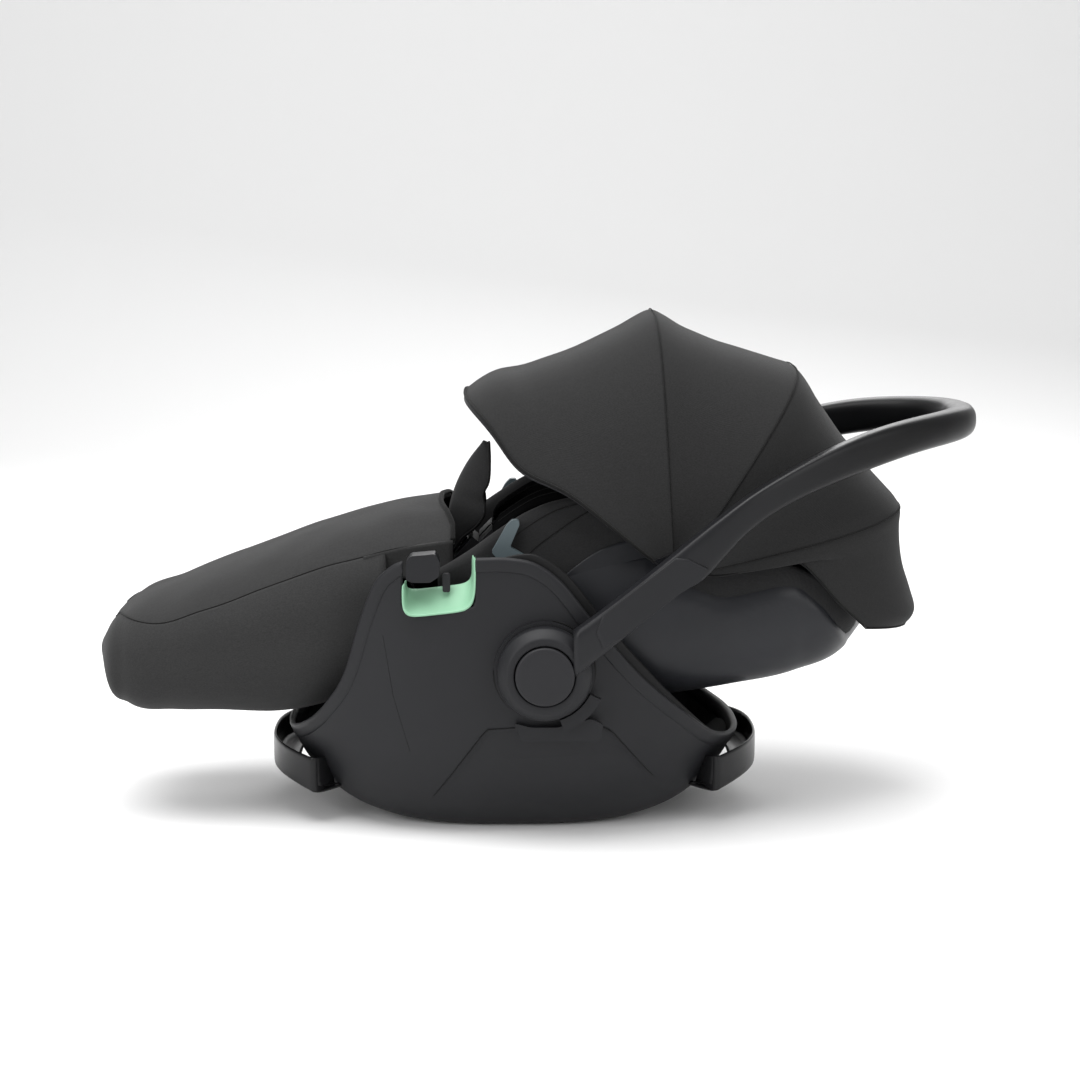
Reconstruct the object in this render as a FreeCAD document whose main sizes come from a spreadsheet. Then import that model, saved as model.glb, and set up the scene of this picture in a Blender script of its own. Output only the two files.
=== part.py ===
"""Infant car seat that lies flat, with folding canopy, carry handle and footmuff.

Frame: +X towards the head end, +Y towards the child's right, +Z up, millimetres.
The origin is on the floor under the handle's hub axis. "left" is the child's left, at -Y.
"""
import FreeCAD, Part
import math
import os
from FreeCAD import Placement, Rotation, Vector

SIDES = (("left", -1), ("right", 1))
ALONG_Y = Vector(0, 1, 0)
WIDE = 300  # reach of a trimming solid each way across the seat, past every wall

doc = FreeCAD.newDocument("infant_car_seat")
sheet = doc.addObject("Spreadsheet::Sheet", "sizes")

DRIVING_SIZES = (
    ("shell_middle", -26, "X of the middle of the outer shell"),
    ("shell_half_length", 226, "outer shell, end to end, halved"),
    ("shell_half_width", 180, "outer shell, side to side, halved"),
    ("shell_wall", 3, "wall of both plastic shells"),
    ("floor_wall", 5, "rocker floor of the outer shell"),
    ("rim_high", 266, "top of the outer shell's rim"),
    ("hub_high", 163, "handle hub axis above the floor"),
    ("hub_radius", 43, "turning hub of the handle"),
    ("hub_inner_face", 190.3, "inner face of the turning hub"),
    ("hub_outer_face", 211, "outer face of the turning hub"),
    ("base_ring_radius", 46, "fixed ring behind the hub"),
    ("base_ring_start", 182.2, "inner face of the fixed ring"),
    ("base_ring_end", 190, "outer face of the fixed ring"),
    ("axle_radius", 6, "stub axle of the handle"),
    ("button_radius", 27, "round handle button"),
    ("button_proud", 4, "button standing out of the hub"),
    ("button_travel", 4, "how far the button goes in"),
    ("arm_face", 214, "outer face of the handle arms"),
    ("arm_thick", 22, "handle arm across the seat"),
    ("recline_x", 30, "X of the recline pins"),
    ("recline_high", 175, "recline pins above the floor"),
    ("recline_pin_radius", 5, "recline pin"),
    ("leg_hinge_x", -142, "X of the leg rest hinge"),
    ("leg_hinge_high", 190, "leg rest hinge above the floor"),
    ("leg_pin_radius", 4, "leg rest pin"),
    ("canopy_x", 120, "X of the canopy pivot"),
    ("canopy_high", 245, "canopy pivot above the floor"),
    ("canopy_pin_radius", 4, "canopy pivot pin"),
    ("bow_wide", 8, "canopy bow strip, width"),
    ("bow_thick", 2.4, "canopy bow strip, thickness"),
    ("cloth_thick", 1.6, "canopy cloth with its lining"),
    ("strap_wide", 38, "harness webbing, width"),
    ("strap_thick", 2, "harness webbing, thickness"),
    ("strap_apart", 44, "shoulder strap from the middle plane"),
    ("muff_wall", 9, "padded wall of the footmuff"),
    ("guide_x", -129.5, "leg end of the belt guide"),
    ("guide_long", 62, "belt guide along the rim"),
    ("guide_high", 228, "belt guide's underside above the floor"),
    ("guide_tall", 34, "belt guide, height"),
    ("guide_deep", 29, "belt guide, depth into the shell"),
    ("guide_face", 179.5, "belt guide's outer face"),
    ("guide_wall", 3, "belt guide, wall"),
    ("running_gap", 0.06, "radial clearance of a turning pin"),
)
for row, (alias, value, meaning) in enumerate(DRIVING_SIZES, start=1):
    sheet.set("A%d" % row, meaning)
    sheet.set("B%d" % row, str(value))
    sheet.setAlias("B%d" % row, alias)
doc.recompute()


def size(alias):
    """The value of one driving dimension."""
    return float(sheet.get(alias))


nodes = []


def keep(item, label):
    """Mark a document object as one sub-part of the seat."""
    item.Label = label
    nodes.append(item)
    return item


def feature(label, shape):
    """A sub-part whose curved shape comes straight from Part's functions."""
    item = doc.addObject("Part::Feature", label)
    item.Shape = shape
    return keep(item, label)


def along_y(x, y, z):
    """Placement that turns a primitive's own Z axis to +Y."""
    return Placement(Vector(x, y, z), Rotation(Vector(1, 0, 0), -90))


def cylinder(label, radius, length, where, side=1):
    """A Part::Cylinder along Y; radius, length and (x, y, z) are sheet expressions."""
    item = doc.addObject("Part::Cylinder", label)
    item.setExpression("Radius", radius)
    item.setExpression("Height", length)
    item.Placement = along_y(0, 0, 0)
    x, y, z = where
    item.setExpression("Placement.Base.x", x)
    start = y if side > 0 else "-(%s) - (%s)" % (y, length)
    item.setExpression("Placement.Base.y", start)
    item.setExpression("Placement.Base.z", z)
    return item


def origin_plane(body, role):
    """One of a body's own origin planes."""
    return [item for item in body.Origin.OriginFeatures if item.Role == role][0]


def sketch_on(body, name, role, offset="0"):
    """An empty sketch on a body's own plane, moved along its normal by an expression."""
    sketch = body.newObject("Sketcher::SketchObject", name)
    sketch.AttachmentSupport = [(origin_plane(body, role), "")]
    sketch.MapMode = "FlatFace"
    sketch.setExpression("AttachmentOffset.Base.z", offset)
    return sketch


def polygon(sketch, points):
    """Draw a closed outline of straight lines."""
    corners = [Vector(a, b, 0) for a, b in points]
    for start, end in zip(corners, corners[1:] + corners[:1]):
        sketch.addGeometry(Part.LineSegment(start, end), False)


def rounded(points, radius):
    """Replace each corner of an outline by a short chain of points on an arc."""
    soft = []
    count = len(points)
    for index in range(count):
        here = Vector(*points[index], 0)
        before = Vector(*points[index - 1], 0) - here
        after = Vector(*points[(index + 1) % count], 0) - here
        reach = min(radius, before.Length * 0.45, after.Length * 0.45)
        start = here + before.normalize() * reach
        end = here + after.normalize() * reach
        for step in (0, 0.25, 0.5, 0.75, 1):
            spot = start * (1 - step) ** 2 + here * 2 * step * (1 - step) + end * step**2
            soft.append((spot.x, spot.y))
    return soft


def side_pad(label, points, inner_face, thick, side):
    """A PartDesign body: an outline in the XZ plane padded outwards across the seat."""
    body = doc.addObject("PartDesign::Body", label)
    offset = inner_face if side < 0 else "-(%s) - (%s)" % (inner_face, thick)
    sketch = sketch_on(body, label + "_outline", "XZ_Plane", offset)
    polygon(sketch, points)
    pad = body.newObject("PartDesign::Pad", label + "_pad")
    pad.Profile = sketch
    pad.setExpression("Length", thick)
    return body


def turned(label, points, side):
    """A PartDesign revolution about the hub axis; points are (distance from middle, radius)."""
    body = doc.addObject("PartDesign::Body", label)
    sketch = sketch_on(body, label + "_profile", "YZ_Plane")
    sketch.setExpression("AttachmentOffset.Base.y", "sizes.hub_high")
    polygon(sketch, [(side * across, radius) for across, radius in points])
    spin = body.newObject("PartDesign::Revolution", label + "_turn")
    spin.Profile = sketch
    spin.ReferenceAxis = (sketch, ["H_Axis"])
    spin.Angle = 360
    return body


def together(label, make):
    """One node of two equal pieces, made for each side by make(name, side)."""
    item = doc.addObject("Part::Compound", label)
    item.Links = [make(name, side) for name, side in SIDES]
    return keep(item, label)


def one_each(label, make):
    """Two nodes, one a side."""
    for name, side in SIDES:
        keep(make(name, side), label + "_" + name)


def smooth(points, closed=False):
    """One smooth edge through points."""
    curve = Part.BSplineCurve()
    curve.interpolate([Vector(*point) for point in points], PeriodicFlag=closed)
    return curve.toShape()


def superellipse(half_a, half_b, power, count=32):
    """Points of a rounded rectangle, as pairs, once round."""
    ring = []
    for step in range(count):
        angle = 2 * math.pi * (step + 0.5) / count
        cosine, sine = math.cos(angle), math.sin(angle)
        first = math.copysign(abs(cosine) ** (2 / power), cosine) * half_a
        second = math.copysign(abs(sine) ** (2 / power), sine) * half_b
        ring.append((first, second))
    return ring


def slab(top, bottom):
    """A solid across the seat between two side curves given as (x, z), left to right."""
    upper = smooth([(x, -WIDE, z) for x, z in top])
    lower = smooth([(x, -WIDE, z) for x, z in bottom])
    ends = [
        Part.makeLine(Vector(bottom[end][0], -WIDE, bottom[end][1]), Vector(top[end][0], -WIDE, top[end][1]))
        for end in (0, -1)
    ]
    face = Part.Face(Part.Wire(Part.__sortEdges__([upper, lower] + ends)))
    return face.extrude(Vector(0, 2 * WIDE, 0))


def box(x0, x1, y0, y1, z0, z1):
    """A plain box between two corners."""
    return Part.makeBox(x1 - x0, y1 - y0, z1 - z0, Vector(x0, y0, z0))


def rod(radius, x, y0, y1, z):
    """A plain cylinder across the seat."""
    return Part.makeCylinder(radius, y1 - y0, Vector(x, y0, z), ALONG_Y)


def mirrored(y_near, y_far, side):
    """A span of distances from the middle plane as a span of Y on one side."""
    return (y_near, y_far) if side > 0 else (-y_far, -y_near)


# ---------------------------------------------------------------- outer shell
RIM = (
    (-262, 80), (-243, 84), (-228, 95), (-205, 120), (-184, 157), (-169, 207), (-157, 238),
    (-141, 256), (-115, 264), (-60, 266), (-31, 266), (-8, 261), (15, 245), (42, 211),
    (88, 156), (136, 111), (163, 88), (190, 78), (215, 75),
)
ROCKER = (
    (-262, 90), (-236, 62), (-212, 38), (-186, 21), (-141, 6.5), (-100, 1.9), (-71, 1),
    (-26, 1), (19, 1), (48, 1.9), (89, 6.5), (134, 21), (160, 38), (184, 62), (215, 74),
)
# height, share of the half length, share of the half width
PLAN = ((-2, 0.72, 0.66), (30, 0.84, 0.83), (84, 0.975, 0.955), (140, 1, 1), (280, 1, 1.005))


def plan_solid(inset):
    """The shell's tub shape without rim or rocker, from rounded plan sections."""
    wires = []
    for height, long_share, wide_share in PLAN:
        half_long = size("shell_half_length") * long_share - inset
        half_wide = size("shell_half_width") * wide_share - inset
        ring = [
            (size("shell_middle") + x, y, height)
            for x, y in superellipse(half_long, half_wide, 2.5)
        ]
        wires.append(Part.Wire(smooth(ring, closed=True)))
    return Part.makeLoft(wires, True, False)


def outer_shell():
    """Rocker, side walls and rim as one moulding, open at the top."""
    wall, floor = size("shell_wall"), size("floor_wall")
    outside = plan_solid(0).common(slab(RIM, ROCKER))
    sky = [(x, size("rim_high") + 60) for x, _ in ROCKER]
    inside = plan_solid(wall).common(slab(sky, [(x, z + floor) for x, z in ROCKER]))
    shell = outside.cut(inside)
    reach = size("shell_half_width")
    x, z = size("recline_x"), size("recline_high")
    for _, side in SIDES:
        low, high = mirrored(162, reach - 1, side)
        shell = shell.fuse(rod(13, x, low, high, z))
        low, high = mirrored(140, reach + 9, side)
        shell = shell.cut(rod(size("axle_radius"), 0, low, high, size("hub_high")))
        low, high = mirrored(140, reach - 3, side)
        shell = shell.cut(rod(size("recline_pin_radius"), x, low, high, z))
        low, high = mirrored(size("guide_face") - size("guide_deep") - 1, reach + 20, side)
        guide = size("guide_x")
        notch = box(guide - 0.5, guide + size("guide_long") + 0.5, low, high, size("guide_high") - 0.5, 400)
        shell = shell.cut(notch)
    for middle in (-126, 74):
        for rib in (-58, 52):
            shell = shell.fuse(box(middle - 14, middle + 14, rib, rib + 6, 5.5, 34))
        shell = shell.cut(box(middle - 12, middle + 12, -52, 52, -5, 12))
        shell = shell.cut(rod(4, middle, -70, 70, 22))
    return shell.removeSplitter()


feature("outer_shell", outer_shell())


def end_band(direction):
    """A thin U of plastic standing clear of one end of the shell, joined to it by a web at each side."""
    gap, thick, low, high = 24, 2.5, 36, 66
    middle = size("shell_middle")
    rings = []
    for layer_thick in (thick, 0):
        half_long = size("shell_half_length") * 0.93 + gap + layer_thick
        half_wide = size("shell_half_width") * 0.93 + layer_thick
        ring = [(middle + x, y, low) for x, y in superellipse(half_long, half_wide, 2.5)]
        rings.append(Part.Face(Part.Wire(smooth(ring, closed=True))).extrude(Vector(0, 0, high - low)))
    start = middle + direction * size("shell_half_length") * 0.8
    beyond = sorted((start, start + direction * 100))
    web = sorted((start, start + direction * 5))
    loop = rings[0].cut(rings[1]).common(box(*beyond, -WIDE, WIDE, low, high))
    webs = rings[0].common(box(*web, -WIDE, WIDE, low, high))
    return loop.fuse(webs.cut(plan_solid(0))).removeSplitter()


feature("leg_end_band", end_band(-1))
feature("head_end_band", end_band(1))


def group(label, solids):
    """Several equal pieces kept in one node."""
    return feature(label, Part.makeCompound(solids))


group("docking_bars", [rod(4, middle, -58, 58, 22) for middle in (-126, 74)])
group("rocker_feet", [
    box(x, x + 30, y - 9, y + 9, 0, 1.2).cut(plan_solid(0).common(slab(RIM, ROCKER)))
    for x in (-70, -12) for y in (-70, 70)
])
feature("rear_foot_block", box(152, 176, -40, 40, 26, 36).cut(plan_solid(0).common(slab(RIM, ROCKER))))


# ---------------------------------------------------------------- handle hubs and shell side parts
def arc_tab(inner, outer, first, last, steps=10):
    """Outline of a ring sector about the hub axis, angles in degrees."""
    rim = []
    for radius, order in ((outer, 1), (inner, -1)):
        angles = [first + (last - first) * step / steps for step in range(steps + 1)]
        for angle in angles[::order]:
            turn = math.radians(angle)
            rim.append((radius * math.cos(turn), size("hub_high") + radius * math.sin(turn)))
    return rim


def hub_profile():
    """Half section of the turning hub: bevel outside, button pocket inside."""
    inner, outer = size("hub_inner_face"), size("hub_outer_face")
    pocket = size("button_radius") + 0.3
    bore = size("axle_radius")
    return (
        (inner, bore), (inner, size("hub_radius")), (inner + 12, size("hub_radius")),
        (outer, 34.5), (outer, pocket), (inner + 4, pocket), (inner + 4, bore),
    )


def ring_profile():
    """Half section of the fixed ring behind the hub."""
    start, end = size("base_ring_start"), size("base_ring_end")
    bore = size("axle_radius") + size("running_gap")
    return ((start, bore), (start, size("base_ring_radius")), (end, size("base_ring_radius")), (end, bore))


def leaf_spring(side):
    """Bowed steel strip that pushes the button out of its pocket."""
    floor, crown = size("hub_inner_face") + 4.3, size("hub_outer_face") - 5.3
    reach, thick, wide = 19, 0.8, 10
    low = size("hub_high") - wide / 2
    outer = Part.Arc(
        Vector(-reach, side * floor, low), Vector(0, side * crown, low), Vector(reach, side * floor, low))
    inner = Part.Arc(
        Vector(thick - reach, side * floor, low), Vector(0, side * (crown - thick), low),
        Vector(reach - thick, side * floor, low))
    ends = [
        Part.makeLine(Vector(sign * reach, side * floor, low), Vector(sign * (reach - thick), side * floor, low))
        for sign in (-1, 1)
    ]
    edges = [outer.toShape(), inner.toShape()] + ends
    return Part.Face(Part.Wire(Part.__sortEdges__(edges))).extrude(Vector(0, 0, wide))


def axle(name, side):
    """Stub axle from inside the shell into the turning hub."""
    return cylinder("axle_" + name, "sizes.axle_radius", "sizes.hub_inner_face + 4 - 160",
                    ("0", "160", "sizes.hub_high"), side)


def lock_disc(name, side):
    """Plate on the inner end of the axle that holds the handle at its stops."""
    where = ("0", "166", "sizes.hub_high")
    disc = doc.addObject("Part::Cut", "lock_disc_" + name)
    disc.Base = cylinder("lock_plate_" + name, "17", "4", where, side)
    disc.Tool = cylinder("lock_bore_" + name, "sizes.axle_radius", "4", where, side)
    return disc


def handle_button(name, side):
    """Round button in the middle of the hub."""
    start = "sizes.hub_outer_face + sizes.button_proud - 9"
    return cylinder("button_" + name, "sizes.button_radius", "9", ("0", start, "sizes.hub_high"), side)


def adapter_block(name, side):
    """Raised block under the hub."""
    outline = ((-27, 114), (-21, 97), (52, 97), (54, 113), (43, 118), (12, 110), (-12, 110))
    return side_pad("adapter_" + name, rounded(outline, 3), "180.6", "5", side)


together("hub_rings", lambda name, side: turned("ring_" + name, ring_profile(), side))
one_each("handle_hub", lambda name, side: turned("turning_hub_" + name, hub_profile(), side))
together("handle_axles", axle)
together("lock_discs", lock_disc)
one_each("handle_button", handle_button)
one_each("hub_latch_tab", lambda name, side: side_pad(
    "latch_" + name, arc_tab(46.4, 57.5, -72, -26), "186.2", "8", side))
together("adapter_blocks", adapter_block)
group("button_springs", [leaf_spring(side) for _, side in SIDES])


# ---------------------------------------------------------------- belt guides, covers, retainers, levers
def belt_guide(name, side):
    """An open tray let into the rim, where the vehicle belt passes."""
    label = "guide_" + name
    left, right = size("guide_x"), size("guide_x") + size("guide_long")
    low, high = size("guide_high"), size("guide_high") + size("guide_tall")
    outline = ((left, low + 4), (left + 4, low), (right - 4, low), (right, low + 4),
               (right, high), (left, high))
    tray = side_pad(label, rounded(outline, 2), "sizes.guide_face - sizes.guide_deep",
                    "sizes.guide_deep", side)
    near, far = mirrored(size("guide_face") - size("guide_deep"), size("guide_face"), side)
    wall = size("guide_wall")
    sketch = sketch_on(tray, label + "_mouth", "XY_Plane", "sizes.guide_high + sizes.guide_tall")
    polygon(sketch, ((left + wall, near + wall), (right - wall, near + wall),
                     (right - wall, far - wall), (left + wall, far - wall)))
    pocket = tray.newObject("PartDesign::Pocket", label + "_hollow")
    pocket.Profile = sketch
    pocket.setExpression("Length", "sizes.guide_tall - sizes.guide_wall")
    outside = "sizes.guide_face + 1" if side < 0 else "-(sizes.guide_face - sizes.guide_wall - 1)"
    side_cut = sketch_on(tray, label + "_window", "XZ_Plane", outside)
    polygon(side_cut, (
        (left + 9, low + 15), (right - 2, low + 12), (right - 2, high + 5), (left + 9, high + 5)))
    window = tray.newObject("PartDesign::Pocket", label + "_open_face")
    window.Profile = side_cut
    window.setExpression("Length", "sizes.guide_wall + 2")
    tray.Tip = window
    return tray


def guide_cover(name, side):
    """Cap over the leg end of the belt guide."""
    outline = ((-126.2, 246), (-120, 243.5), (-104, 243.5), (-96, 249), (-95, 262), (-99, 270),
               (-122, 268), (-126.2, 262))
    return side_pad("cover_" + name, rounded(outline, 2), "154", "22.2", side)


def belt_retainer(name, side):
    """Small clip that swings across the belt's slot, with its own pin."""
    clip = doc.addObject("Part::Fuse", "retainer_" + name)
    outline = ((-93, 233), (-93, 250), (-86, 250), (-86, 233))
    clip.Base = side_pad("clip_" + name, rounded(outline, 2), "160", "6", side)
    clip.Tool = cylinder("clip_pin_" + name, "1.5", "8", ("-89.5", "153.7", "247"), side)
    return clip


def recline_lever(name, side):
    """V-shaped finger lever on the rim, with the pin that it turns on."""
    lever = doc.addObject("Part::Fuse", "lever_" + name)
    outline = ((-48, 267), (-34, 292), (-29, 297), (-23, 297), (-22, 293), (-31, 272), (-16, 263),
               (-18, 258), (-40, 258))
    lever.Base = side_pad("lever_plate_" + name, rounded(outline, 2), "139.6", "9", side)
    lever.Tool = cylinder("lever_pin_" + name, "2", "10.2", ("-26", "139.8", "262"), side)
    return lever


one_each("belt_guide", belt_guide)
together("belt_guide_covers", guide_cover)
one_each("belt_retainer", belt_retainer)
one_each("recline_lever", recline_lever)


# ---------------------------------------------------------------- seat: shell, foam, cover, pads
# X, underside, half width
TUB = (
    (-150, 160, 92), (-118, 136, 97), (-70, 112, 124), (-20, 102, 138), (40, 102, 146),
    (110, 112, 149), (180, 123, 147), (240, 135, 138), (290, 156, 112), (316, 182, 66),
)
TUB_RIM = (
    (-160, 214), (-118, 222), (-70, 236), (-20, 246), (40, 252), (110, 262), (180, 268),
    (240, 254), (290, 222), (330, 196),
)
LID = 300  # height at which every tub section closes, above the rim


def tub(inset, clearance=0):
    """The reclining seat's basin, made smaller by inset, before its rim is cut."""
    wires = []
    for index, (x, under, half) in enumerate(TUB):
        shift = inset if index == 0 else (-inset if index == len(TUB) - 1 else 0)
        bottom = under + inset
        ring = [
            (x + shift, y, (LID + bottom) / 2 + z)
            for y, z in superellipse(half - inset - clearance, (LID - bottom) / 2, 3)
        ]
        wires.append(Part.Wire(smooth(ring, closed=True)))
    return Part.makeLoft(wires, True, False)


def under_rim(drop):
    """Everything below the seat's rim line, lowered by drop."""
    return slab([(x, z - drop) for x, z in TUB_RIM], [(x, 60) for x, _ in TUB_RIM])


def layer(outer, inner, drop):
    """A basin-shaped layer between two insets."""
    return tub(outer).cut(tub(inner)).common(under_rim(drop))


def inner_shell():
    """The reclining plastic basin, with bosses for its recline pins and its leg rest."""
    shell = layer(0, size("shell_wall"), 0)
    inside = tub(size("shell_wall") / 2)
    bearings = (
        (13, size("recline_x"), size("recline_high"), 138, 160, size("recline_pin_radius") + size("running_gap")),
        (9, size("leg_hinge_x"), size("leg_hinge_high"), 82, 98, size("leg_pin_radius")),
    )
    for _, side in SIDES:
        for radius, x, z, near, far, bore in bearings:
            shell = shell.fuse(rod(radius, x, *mirrored(near, far, side), z).cut(inside))
            shell = shell.cut(rod(bore, x, *mirrored(near - 2, far + 1, side), z))
    return shell


feature("inner_shell", inner_shell())
FOAM, COVER, PAD = 3.4, 15, 18
feature("foam_liner", layer(FOAM, COVER - 0.4, 8))
feature("seat_cover", layer(COVER, PAD - 0.4, 5))

PAD_TOP = ((-160, 196), (-110, 184), (-60, 168), (0, 160), (80, 160), (180, 172), (250, 186), (330, 205))


def pad_part(x0, x1):
    """A stretch of the thick lying surface that fills the bottom of the basin."""
    floor = [(x, 60) for x, _ in PAD_TOP]
    return tub(PAD).common(slab(PAD_TOP, floor)).common(box(x0, x1, -WIDE, WIDE, 60, 260))


strap_slot = box(-107, -100, -20, 20, 100, 260)
feature("bottom_pad", pad_part(-140, 9.5).cut(strap_slot).cut(box(-130, -114, -11, 11, 170, 260)))
feature("back_pad", pad_part(10, 280))


# ---------------------------------------------------------------- headrest
def headrest(inner_half, outer_half, low, high, x0, x1):
    """A U seen from the feet: a floor and two wings round the head."""
    floor = low + outer_half - inner_half
    outline = rounded((
        (-outer_half, high), (-outer_half, low), (outer_half, low), (outer_half, high),
        (inner_half, high), (inner_half, floor), (-inner_half, floor), (-inner_half, high)), 8)
    face = Part.Face(Part.makePolygon([Vector(x0, y, z) for y, z in outline + outline[:1]]))
    return face.extrude(Vector(x1 - x0, 0, 0))


HEAD_START, HEAD_END = 96, 196
feature("headrest_shell", headrest(88, 92, 187, 240, HEAD_START, HEAD_END))
feature("headrest_pad", headrest(62, 87.5, 191.5, 246, HEAD_START + 2, HEAD_END - 2))


# ---------------------------------------------------------------- harness
def ribbon(points, thick, y0, y1):
    """A strip that follows side points (x, z), given its thickness and its span in Y."""
    centre = smooth([(x, y0, z) for x, z in points])
    edge = centre.Edges[0]
    first, last = edge.ParameterRange
    sides = ([], [])
    steps = 14
    for step in range(steps + 1):
        value = first + (last - first) * step / steps
        spot, tangent = edge.valueAt(value), edge.tangentAt(value)
        normal = Vector(-tangent.z, 0, tangent.x) * (thick / 2)
        sides[0].append(spot + normal)
        sides[1].append(spot - normal)
    upper = smooth([tuple(point) for point in sides[0]])
    lower = smooth([tuple(point) for point in sides[1]])
    ends = [Part.makeLine(sides[0][index], sides[1][index]) for index in (0, -1)]
    face = Part.Face(Part.Wire(Part.__sortEdges__([upper, lower] + ends)))
    return face.extrude(Vector(0, y1 - y0, 0))


STRAP_PATH = ((-46.4, 271.4), (-24, 288), (2, 302), (32, 305), (62, 288), (80, 250), (84, 215), (84, 176))
apart, wide = size("strap_apart"), size("strap_wide")
group("buckle_tongues", [
    ribbon(((-59.4, 257.7), (-53, 264.6), (-47, 270.7)), 3, *mirrored(6, 40, side)) for _, side in SIDES])
for name, side in SIDES:
    low, high = mirrored(apart - wide / 2, apart + wide / 2, side)
    feature("shoulder_strap_" + name, ribbon(STRAP_PATH, size("strap_thick"), low, high))
    low, high = mirrored(apart - 27, apart + 27, side)
    sleeve = ribbon(STRAP_PATH[:6], 13, low, high).common(box(-36, 70, low, high, 230, 330))
    inner, outer = apart - wide / 2 - 0.3, apart + wide / 2 + 0.3
    slot = ribbon(STRAP_PATH, size("strap_thick") + 0.6, *mirrored(inner, outer, side))
    feature("shoulder_pad_" + name, sleeve.cut(slot))
back = doc.getObject("back_pad")
for name, side in SIDES:
    low, high = mirrored(apart - wide / 2 - 1, apart + wide / 2 + 1, side)
    back.Shape = back.Shape.cut(box(81, 87, low, high, 100, 260))

BUTTON_PATH = ((-78.3, 245.3), (-68.7, 255.9))
buckle = ribbon(((-78, 236), (-60, 257)), 17, -27, 27)
feature("buckle_body", buckle.cut(ribbon(BUTTON_PATH, 12, -11.4, 11.4)))
button_ends = ribbon(((-77.9, 245.7), (-69.1, 255.5)), 9, -12, 12)
feature("buckle_button", ribbon(BUTTON_PATH, 8, -11, 11).common(button_ends))
feature("crotch_strap", ribbon(((-104, 178), (-101, 198), (-93, 217), (-78.6, 235.4)), 2, -19, 19))
feature("crotch_pad", ribbon(((-92, 249), (-87, 276), (-79, 306), (-65, 335), (-53, 352)), 11, -34, 34))
ADJUSTER_PATH = ((-122, 199.8), (-131, 217), (-146, 227), (-160, 219), (-166, 198))
feature("adjuster_strap", ribbon(ADJUSTER_PATH, 1.6, -12, 12))
adjuster = rounded(((-128, 184), (-128, 199), (-116, 199), (-116, 184)), 3)
keep(side_pad("adjuster", adjuster, "-9", "18", -1), "adjuster_button")


# ---------------------------------------------------------------- canopy
BOW_POWER = 3


def bow_curve(reach, half, start=0.0, steps=20):
    """Points of a bow in its own plane: (distance from the pivot, distance across)."""
    points = []
    for step in range(steps + 1):
        angle = start + (math.pi - 2 * start) * step / steps
        cosine, sine = math.cos(angle), math.sin(angle)
        across = -math.copysign(abs(cosine) ** (2 / BOW_POWER), cosine) * half
        points.append((reach * abs(sine) ** (2 / BOW_POWER), across))
    return points


def to_canopy(shape, degrees):
    """Turn a shape drawn in the XY plane about the pivot to its angle above +X."""
    shape.Placement = Placement(
        Vector(size("canopy_x"), 0, size("canopy_high")), Rotation(ALONG_Y, -degrees))
    return shape


def bow(reach, layer_middle, degrees):
    """A flat strip bent to a U, with an eyelet at each end."""
    thick, width = size("bow_thick"), size("bow_wide")
    outer = bow_curve(reach, layer_middle + thick / 2)
    inner = bow_curve(reach - thick, layer_middle - thick / 2)
    edges = [smooth([(r, y, -width / 2) for r, y in line]) for line in (outer, inner)]
    for (r0, y0), (r1, y1) in ((outer[0], inner[0]), (outer[-1], inner[-1])):
        edges.append(Part.makeLine(Vector(r0, y0, -width / 2), Vector(r1, y1, -width / 2)))
    strip = Part.Face(Part.Wire(Part.__sortEdges__(edges))).extrude(Vector(0, 0, width))
    for side in (-1, 1):
        start = side * layer_middle - thick / 2
        strip = strip.fuse(Part.makeCylinder(9, thick, Vector(0, start, 0), ALONG_Y))
    bore = Part.makeCylinder(
        size("canopy_pin_radius") + size("running_gap"), 2 * WIDE, Vector(0, -WIDE, 0), ALONG_Y)
    return to_canopy(strip.cut(bore).removeSplitter(), degrees)


# name, angle above +X, reach, middle of its eyelet layer
BOWS = (
    ("rear_bow", 18, 238, 152.2), ("upper_bow", 58, 226, 155.1), ("top_bow", 94, 236, 158.0),
    ("front_bow", 140, 248, 160.9),
)
for name, degrees, reach, layer_middle in BOWS:
    feature(name, bow(reach, layer_middle, degrees))

CLOTH_HALF = 164


def cloth_panel(first, last, reaches, start, half=CLOTH_HALF):
    """A thin closed sheet between two bow angles, dipping between them."""
    thick = size("cloth_thick")
    wires = []
    for index, reach in enumerate(reaches):
        degrees = first + (last - first) * index / (len(reaches) - 1)
        outer = bow_curve(reach + thick, half + thick, start)
        inner = bow_curve(reach, half, start)
        edges = [smooth([(r, y, 0) for r, y in line]) for line in (outer, inner)]
        for end in (0, -1):
            edges.append(Part.makeLine(Vector(*outer[end], 0), Vector(*inner[end], 0)))
        wires.append(to_canopy(Part.Wire(Part.__sortEdges__(edges)), degrees))
    return Part.makeLoft(wires, True, False)


feature("canopy_front_panel", cloth_panel(140, 94.3, (250, 228, 238), 0.1))
feature("canopy_top_panel", cloth_panel(93.7, 58.3, (238, 219, 228), 0.1))
feature("canopy_back_panel", cloth_panel(57.7, 18.3, (228, 213, 240), 0.1))
feature("canopy_skirt", cloth_panel(17.7, -14, (240, 238, 257), 0.62, 168))


def canopy_pivot(name, side):
    """Headed pin through the eyelets of all four bows."""
    pivot = doc.addObject("Part::Fuse", "pivot_" + name)
    pivot.Base = cylinder("pivot_shaft_" + name, "sizes.canopy_pin_radius", "16",
                          ("sizes.canopy_x", "148.7", "sizes.canopy_high"), side)
    pivot.Tool = cylinder("pivot_head_" + name, "9", "2",
                          ("sizes.canopy_x", "162.4", "sizes.canopy_high"), side)
    return pivot


together("canopy_pivots", canopy_pivot)


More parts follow.
